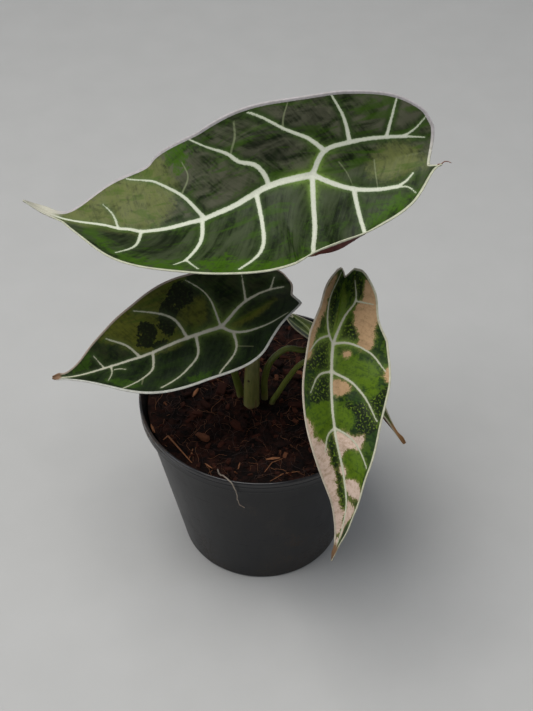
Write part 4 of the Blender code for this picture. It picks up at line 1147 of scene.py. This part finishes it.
# %% Pot mesh
def make_pot():
    """The pot from the middle of its underside, up the outside, over the rim and down the inside."""
    top, under = POT_HEIGHT, POT_HEIGHT - RIM_HEIGHT
    floor_top = FLOOR_THICKNESS
    raised = floor_top + UNDERSIDE_RECESS
    profile = rounded_profile([
        (0, 0, 0), (FOOT_PAD_RADIUS, 0, 0.3), (FOOT_PAD_RADIUS + 0.9, UNDERSIDE_RECESS, 0.3),
        (FOOT_RING_INNER - 0.9, UNDERSIDE_RECESS, 0.3), (FOOT_RING_INNER, 0, 0.3), (POT_FOOT_RADIUS - 0.7, 0, 0.4),
        (POT_FOOT_RADIUS + 0.1, 1.0, 0.5), (POT_TOP_RADIUS - 9 * 0.19, under - 9.0, 0.1), (POT_TOP_RADIUS, under - 0.4, 0.3),
        (POT_TOP_RADIUS + 0.3, under, 0.2), (RIM_RADIUS - 0.7, under, 0.5), (RIM_RADIUS - 0.2, under + 0.4, 0.4),
        (RIM_RADIUS, top - 2.8, 0.15), (RIM_RADIUS - 0.25, top - 2.5, 0.12), (RIM_RADIUS, top - 2.2, 0.15),
        (RIM_RADIUS, top - 0.6, 0.4), (RIM_RADIUS - 0.5, top, 0.4), (RIM_RADIUS - 1.1, top, 0.3),
        (RIM_RADIUS - RIM_THICKNESS, top - 1.0, 0.4), (RIM_RADIUS - RIM_THICKNESS - 0.9, under + 1.6, 0.6),
        (inner_wall(under - 1.5), under - 1.5, 0.8), (inner_wall(floor_top), floor_top, 0.4),
        (FOOT_RING_INNER - 0.3, floor_top, 0.3), (FOOT_RING_INNER - 1.6, raised, 0.3), (FOOT_PAD_RADIUS + 0.6, raised, 0.3),
        (FOOT_PAD_RADIUS - 0.7, floor_top, 0.3), (0, floor_top, 0)])
    points = turned(profile, POT_SIDES)
    pot = make_object("pot_shell", points, ring_faces(len(profile) - 2, POT_SIDES))

    hole_rings, hole_sides = 2, 40
    angle = 2 * math.pi * (np.arange(DRAIN_COUNT) + 0.5) / DRAIN_COUNT
    paths = np.zeros((DRAIN_COUNT, hole_rings, 3))
    paths[..., 0] = DRAIN_CIRCLE * np.cos(angle)[:, None]
    paths[..., 1] = DRAIN_CIRCLE * np.sin(angle)[:, None]
    paths[..., 2] = [-3.0, 7.0]
    drills = swept(paths, np.full((DRAIN_COUNT, hole_rings), DRAIN_RADIUS), hole_sides, np.array([1.0, 0, 0]))
    drill = make_object("drill", drills.reshape(-1, 3), ring_faces(hole_rings, hole_sides, DRAIN_COUNT))
    boolean = pot.modifiers.new("drain holes", "BOOLEAN")
    boolean.operation = "DIFFERENCE"
    boolean.object = drill
    bpy.context.view_layer.update()
    cut = bpy.data.meshes.new_from_object(pot.evaluated_get(bpy.context.evaluated_depsgraph_get()))
    bpy.data.objects.remove(pot)
    bpy.data.objects.remove(drill)
    cut.set_sharp_from_angle(angle=math.radians(40))
    pot = bpy.data.objects.new("pot_shell", cut)
    bpy.context.scene.collection.objects.link(pot)
    return pot


# %% [markdown]
# Black polypropylene is never flat black. It has a satin skin with faint upright drawing marks, finer
# scratches from stacking, a little dust that gathers low down and on the rim, and brown smears where the mix
# was spilled over the edge. The marks follow the wall, so their noise is stretched along Z.

# %% Pot finish
def pot_finish():
    """Satin black: drawing marks and scratches in the roughness and bump, dust and smears in the colour."""
    paint = Paint("pot_plastic", Specular_IOR_Level=0.2, Coat_Roughness=0.16)
    place = paint.place()
    x, y, z = paint.parts(place)
    marks = paint.noise(paint.vector(x * 260.0, y * 260.0, z * 9.0), 1.0, 5.0, 0.65)
    skin = paint.noise(place, 900.0, 3.0, 0.6)
    clouds = paint.noise(place, 28.0, 4.0, 0.6)
    scratch = paint.noise(paint.vector(x * 70.0 + z * 40.0, y * 70.0, z * 420.0), 1.0, 3.0, 0.7, 0.6)
    low = 1 - paint.step(z, 0.0, 0.03)
    rim = paint.step(z, 0.0875, 0.0945)
    dust = paint.step(clouds + low * 0.16 + rim * 0.12, 0.52, 0.72) * paint.step(skin, 0.42, 0.62)
    colour = paint.mix(marks, (0.005, 0.005, 0.006), (0.009, 0.009, 0.0105))
    colour = paint.mix(dust * 0.5, colour, (0.10, 0.085, 0.07))
    smear = paint.step(clouds + (skin - 0.5) * 0.4 + rim * 0.1, 0.66, 0.74)
    colour = paint.mix(smear * 0.6, colour, (0.055, 0.03, 0.018))
    fine = paint.step(scratch, 0.63, 0.68)
    rough = 0.30 + 0.14 * marks + 0.28 * dust + 0.10 * fine
    gloss = rim * 0.7 * (1 - dust)
    return paint.finish(colour, rough, marks * 0.5 + skin * 0.2 - fine * 0.25, depth=0.12, strength=0.5, coat=gloss)


pot_object = make_pot()
pot_object.data.materials.append(pot_finish())
dressed(pot_object, "pot", "pot")

# %% [markdown]
# ## The bark mix
# The plant grows in chopped bark and coir: dark red-brown crumbs, splinters of bark that lie at all angles, and
# pale orange hairs. Three pieces make it. The ground is a turned plug whose top is a fine height field. Bark
# chips are rounded boxes, one formula for all, each with its own size, turn and roughness. The fibres are thin
# swept hairs that follow the ground. All their chance is seeded, and the thirty large chips stand where the
# model has them.

# %% Ground of the mix
SOIL_TOP_RADIUS = 56.0
ROOTSTOCK_X = -2.6
SOIL_RINGS = 132
SOIL_SIDES = 400


def soil_relief(x, y):
    """Height of the mix over its mean level: crumbs and hollows, level at the stalks and at the wall."""
    bumps = 0.8 * np.sin(x / 4.1 + 1.1) * np.sin(y / 4.7 - 0.4) + 0.6 * np.sin(x / 2.3 - y / 3.1)
    swell = 0.9 * np.sin(x / 17 + 0.6) * np.cos(y / 15)
    far = np.hypot(x, y) / SOIL_TOP_RADIUS
    from_stalks = np.hypot(x - ROOTSTOCK_X, y) / 14
    return (bumps + swell) * np.clip(1.15 - far ** 6, 0, 1) * np.clip(from_stalks - 0.4, 0, 1)


def ground(x, y):
    """Height of the fine ground: the mean relief, crumbs a few millimetres wide and grains on them."""
    crumbs = 0.75 * np.abs(layers(x / 2.4 + 7, y / 2.4, 41, 2)) - 0.35
    grains = 0.22 * layers(x / 0.8, y / 0.8 + 3, 47, 2)
    return SOIL_TOP + soil_relief(x, y) * 0.8 + crumbs + grains


def make_ground():
    low = FLOOR_THICKNESS + GAP
    raised = low + UNDERSIDE_RECESS
    under = np.array([
        (0, low), (FOOT_PAD_RADIUS - 1.2, low), (FOOT_PAD_RADIUS + 0.2, raised), (FOOT_RING_INNER - 1.2, raised),
        (FOOT_RING_INNER + 0.2, low), (inner_wall(low) - GAP, low), (inner_wall(60) - GAP, 60),
        (SOIL_TOP_RADIUS - 0.4, SOIL_TOP - 3.5)])
    rings = SOIL_TOP_RADIUS * np.linspace(1, 0, SOIL_RINGS + 1)
    profile = np.concatenate([under, np.stack([rings, np.full(len(rings), SOIL_TOP)], -1)])
    points = turned(profile, SOIL_SIDES)
    top = points[:, 2] > SOIL_TOP - 0.1
    points[top, 2] = ground(points[top, 0], points[top, 1])
    return make_object("bark_ground", points, ring_faces(len(profile) - 2, SOIL_SIDES))


# %% Bark chips
CHIP_COUNT = 30
CHIP_SEED = 7
SMALL_CHIPS = 420
CHIP_RINGS = 9
CHIP_SIDES = 14
BOXINESS = 0.28


def chip_places():
    """(x, y, length, width, height, turns) of every chip: the model's thirty first, then the small ones."""
    draw = random.Random(CHIP_SEED)
    rows = []
    while len(rows) < CHIP_COUNT:
        far, angle = SOIL_TOP_RADIUS * math.sqrt(draw.uniform(0.08, 0.83)), draw.uniform(0, 2 * math.pi)
        x, y = far * math.cos(angle), far * math.sin(angle)
        size = (draw.uniform(4.0, 9.0), draw.uniform(2.5, 4.5), draw.uniform(2.2, 3.4))
        turn = (draw.uniform(-0.3, 0.3), draw.uniform(-0.35, 0.35), draw.uniform(0, math.pi))
        on_stray_root = abs(x + 19) < 6 and y < -38
        in_stalks = math.hypot(x - ROOTSTOCK_X, y) < 17
        in_wall = far + size[0] / 2 > SOIL_TOP_RADIUS - 2
        if not (on_stray_root or in_stalks or in_wall):
            rows.append((x, y, *size, *turn))
    while len(rows) < CHIP_COUNT + SMALL_CHIPS:
        far, angle = SOIL_TOP_RADIUS * math.sqrt(draw.uniform(0.01, 0.96)), draw.uniform(0, 2 * math.pi)
        x, y = far * math.cos(angle), far * math.sin(angle)
        length = draw.uniform(1.6, 5.5) * draw.uniform(0.6, 1.0)
        size = (length, length * draw.uniform(0.3, 0.7), draw.uniform(0.8, 1.9))
        turn = (draw.uniform(-0.6, 0.6), draw.uniform(-0.6, 0.6), draw.uniform(0, math.pi))
        if math.hypot(x - ROOTSTOCK_X, y) > 9 and far + size[0] / 2 < SOIL_TOP_RADIUS - 0.6:
            rows.append((x, y, *size, *turn))
    return np.array(rows)


def make_chips():
    """Rounded boxes: a sphere's cos and sin raised to a power below 1, scaled, roughened, turned and placed."""
    chips = chip_places()
    lat = (np.arange(CHIP_RINGS) + 1) / (CHIP_RINGS + 1) * math.pi - math.pi / 2
    lon = np.arange(CHIP_SIDES) * 2 * math.pi / CHIP_SIDES

    def power(value):
        return np.sign(value) * np.abs(value) ** BOXINESS

    grid_lat, grid_lon = np.meshgrid(lat, lon, indexing="ij")
    unit = np.stack([power(np.sin(grid_lat)), power(np.cos(grid_lat)) * power(np.cos(grid_lon)),
                     power(np.cos(grid_lat)) * power(np.sin(grid_lon))], -1).reshape(-1, 3) / 2
    unit = np.concatenate([unit, [[-0.5, 0, 0], [0.5, 0, 0]]])
    number = np.arange(len(chips))[:, None]
    rough = 1 + 0.20 * layers(unit[None, :, 0] * 3.5 + number * 7.3, unit[None, :, 1] * 4 + unit[None, :, 2] * 5 + number * 3.1, 61, 2)
    taper = 1 - 0.35 * np.abs(unit[None, :, 0] * 2) ** 2 * (0.5 + 0.5 * np.sin(number * 2.4))
    size = np.minimum(chips[:, 2:5], [9.0, 4.5, 2.9])
    shape = unit[None] * size[:, None] * rough[..., None]
    shape[..., 1:] *= taper[..., None]
    turn_x, turn_y, turn_z = chips[:, 5:].T
    cx, sx, cy, sy, cz, sz = (f(t) for t in (turn_x, turn_y, turn_z) for f in (np.cos, np.sin))
    turn = np.array([
        [cy * cz, sx * sy * cz - cx * sz, cx * sy * cz + sx * sz],
        [cy * sz, sx * sy * sz + cx * cz, cx * sy * sz - sx * cz],
        [-sy, sx * cy, cx * cy]]).transpose(2, 0, 1)
    place = np.column_stack([chips[:, 0], chips[:, 1], ground(chips[:, 0], chips[:, 1]) + 0.1 + 0.12 * size[:, 2]])
    points = np.einsum("nij,nkj->nki", turn, shape) + place[:, None]
    tint = np.repeat(np.random.default_rng(5).random(len(chips)), len(unit))
    return make_object("bark_chips", points.reshape(-1, 3), ring_faces(CHIP_RINGS, CHIP_SIDES, len(chips)),
                       {"tint": tint, "grain": np.concatenate([shape[i] for i in range(len(chips))])})


# %% Fibres
FIBRES = 520
FIBRE_RINGS = 12
FIBRE_SIDES = 4
# Loose splinters and a bent straw that stand out in the photo, by the pixels of their ends
STRAWS = [((163, 440), (168, 436), (192, 463)), ((266, 458), (273, 457), (280, 456.5)), ((192.5, 394.5), (198, 386)),
          ((143, 425), (147, 434)), ((205, 463), (212, 468)), ((270, 480), (284, 472), (300, 470)), ((189, 458), (193, 448)),
          ((262, 474), (272, 461), (283, 457)), ((238, 468), (240, 461))]


def make_fibres():
    """Hairs that start at a random place, curl by a random amount, hug the ground and arch a little over it."""
    draw = np.random.default_rng(19)
    far, angle = 54.0 * np.sqrt(draw.uniform(0.01, 1, FIBRES)), draw.uniform(0, 2 * math.pi, FIBRES)
    length, heading = draw.uniform(4, 17, FIBRES), draw.uniform(0, 2 * math.pi, FIBRES)
    curl, bow = draw.normal(0, 1.0, FIBRES), draw.uniform(0.1, 1.5, FIBRES)
    share = np.linspace(0, 1, FIBRE_RINGS)[None]
    bearing = heading[:, None] + curl[:, None] * share + 0.5 * np.sin(share * 7 + heading[:, None])
    step = length[:, None] / (FIBRE_RINGS - 1)
    x = far[:, None] * np.cos(angle)[:, None] + np.cumsum(np.cos(bearing) * step, 1)
    y = far[:, None] * np.sin(angle)[:, None] + np.cumsum(np.sin(bearing) * step, 1)
    out = np.maximum(np.hypot(x, y) / 55.0, 1)
    x, y = x / out, y / out
    z = ground(x, y) + 0.25 + bow[:, None] * np.sin(math.pi * share) * length[:, None] / 12
    path = np.stack([x, y, z], -1)
    radius = draw.uniform(0.04, 0.11, FIBRES)[:, None] * (1 - 0.6 * share ** 3)
    points = swept(path, radius, FIBRE_SIDES, np.array([0.0, 0.0, 1.0]))
    tint = np.repeat(draw.random(FIBRES), points.shape[1])
    return make_object("coir_fibres", points.reshape(-1, 3), ring_faces(FIBRE_RINGS, FIBRE_SIDES, FIBRES), {"tint": tint})


def make_straws():
    """Flat splinters of coir husk lying on the mix, 0.9 mm wide, through the points that their pixels give."""
    rings, sides = 16, 8
    bodies = []
    for number, pixels in enumerate(STRAWS):
        ends = np.array([on_level(pixel, SOIL_TOP + 1.2) for pixel in pixels])
        path = curve_through(ends, rings) if len(pixels) == 2 else np.concatenate(
            [np.linspace(ends[k], ends[k + 1], rings // 2) for k in range(2)])
        reach = np.hypot(path[:, 0], path[:, 1])
        path[:, :2] *= np.minimum(1, 56.0 / reach)[:, None]
        path[:, 2] = ground(path[:, 0], path[:, 1]).max() + 0.1
        taper = 0.25 + 0.75 * np.sin(np.linspace(0.15, math.pi - 0.25, rings))
        width = (0.45, 0.8, 1.0, 0.7, 0.4, 0.25, 0.35, 0.22, 0.35)[number]
        section = 1 / np.hypot(np.cos(np.arange(sides) * math.pi / 4) / 0.45, np.sin(np.arange(sides) * math.pi / 4))
        bodies.append(swept(path, width * taper, sides, np.array([0.0, 0.0, 1.0]), section[None]))
    tint = np.full(sum(map(len, bodies)), 0.95)
    return make_object("husk_splinters", np.concatenate(bodies), ring_faces(rings, sides, len(STRAWS)), {"tint": tint})


# %% [markdown]
# The mix looks almost black where it is damp, with dark red in the bark and orange only in the dry hairs and in
# fresh splinters. Each chip and each hair carries one random number, its tint, and the finish turns it into a
# colour. The ground takes its tint from noise instead.

# %% Finishes of the mix
def bark_finish(name, dry):
    """Dark to red-brown by noise or tint, with fine grain, and a share of it dry and pale."""
    paint = Paint(name, Specular_IOR_Level=0.12)
    place = paint.place()
    clouds = paint.noise(place, 220.0, 4.0, 0.6)
    grain = paint.noise(place, 1500.0, 4.0, 0.7)
    tint = paint.attribute("tint") if dry else clouds
    colour = paint.mix(paint.step(clouds, 0.35, 0.7), (0.003, 0.0016, 0.0013), (0.024, 0.008, 0.005))
    if dry:
        x, y, z = paint.parts(paint.attribute("grain", vector=True))
        grain = paint.noise(paint.vector(x * 0.6, y * 4.0, z * 4.0), 1.0, 4.0, 0.7)
        colour = paint.mix(paint.step(tint, 0.3, 1.0), colour, (0.060, 0.018, 0.010))
        colour = paint.mix(paint.step(tint, 0.90, 0.99) * (0.35 + grain), colour, (0.16, 0.062, 0.030))
    else:
        colour = paint.mix(paint.step(clouds * 0.4 + grain * 0.6, 0.52, 0.64) * 0.6, colour, (0.070, 0.022, 0.012))
    colour = paint.mix(paint.step(grain, 0.35, 0.7) * 0.4, colour, (0.004, 0.002, 0.0015))
    return paint.finish(colour, 0.72 + 0.2 * grain, grain, depth=0.5, strength=0.7)


def fibre_finish():
    """Brown to pale orange by tint, with a mid brown mixed in by fine noise."""
    paint = Paint("coir")
    tint = paint.attribute("tint")
    hair = paint.noise(paint.place(), 700.0, 3.0, 0.6)
    colour = paint.mix(paint.step(tint, 0.4, 1.0), (0.016, 0.006, 0.0035), (0.26, 0.10, 0.035))
    colour = paint.mix(paint.step(hair, 0.45, 0.75) * 0.4, colour, (0.10, 0.036, 0.015))
    return paint.finish(colour, 0.62 + 0.2 * hair, hair, depth=0.1, strength=0.4)


coir = fibre_finish()
for piece, finish in ((make_ground(), bark_finish("bark_ground", False)), (make_chips(), bark_finish("bark_chips", True)),
                      (make_fibres(), coir), (make_straws(), coir)):
    piece.data.materials.append(finish)
    dressed(piece, "soil", "soil")

# %% [markdown]
# ## The rootstock and the stray root
# The rootstock is buried, so its model shape stays and only gets a fibrous brown skin. The stray root is a thin
# dry hair that hangs over the front of the rim. It is swept along the same route as in the model, with a few
# small kinks and a taper that a bevelled curve would make too even.

# %% Rootstock and stray root
STRAY_ROOT = [
    (-20.2, -47.5, 91.2), (-19.6, -50.5, 91.9), (-18.6, -53.3, 93.8), (-17.2, -55.6, 96.0), (-15.6, -57.4, 96.4),
    (-14.0, -58.9, 95.8), (-12.4, -60.2, 93.0), (-11.4, -60.5, 89.6), (-10.9, -60.5, 85.0), (-9.8, -60.6, 81.2),
    (-7.6, -60.8, 79.4),
]
STRAY_RINGS = 110
STRAY_SIDES = 12

skin = Paint("rootstock_skin")
place = skin.place()
x, y, z = skin.parts(place)
rings = skin.noise(skin.vector(x * 120.0, y * 120.0, z * 900.0), 1.0, 4.0, 0.6)
spots = skin.noise(place, 300.0, 3.0, 0.6)
skin.finish(skin.mix(rings, (0.09, 0.045, 0.025), (0.26, 0.16, 0.09)), 0.75 + 0.15 * spots, rings + spots * 0.5, depth=0.5)
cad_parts["rootstock"].data.materials.clear()
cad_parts["rootstock"].data.materials.append(skin.material)

share = np.linspace(0, 1, STRAY_RINGS)
path = curve_through(STRAY_ROOT, STRAY_RINGS)
path += 0.16 * np.stack([chance(share * 23, share * 0 + 1, 71), chance(share * 19, share * 0 + 2, 73), 0 * share], -1)
radii = 0.34 - 0.16 * share ** 2 + 0.05 * chance(share * 40, share * 0, 77)
root = make_object("stray_fibre", swept(path, radii, STRAY_SIDES, np.array([1.0, 0.0, 0.0])), ring_faces(STRAY_RINGS, STRAY_SIDES))
dry = Paint("dry_root")
fine = dry.noise(dry.place(), 900.0, 4.0, 0.6)
patch = dry.noise(dry.place(), 160.0, 2.0, 0.5)
colour = dry.mix(patch, (0.13, 0.10, 0.075), (0.30, 0.26, 0.21))
root.data.materials.append(dry.finish(dry.mix(dry.step(fine, 0.45, 0.7) * 0.5, colour, (0.14, 0.09, 0.06)), 0.6 + 0.2 * fine, fine, depth=0.12))
dressed(root, "stray_root", "stray_root")
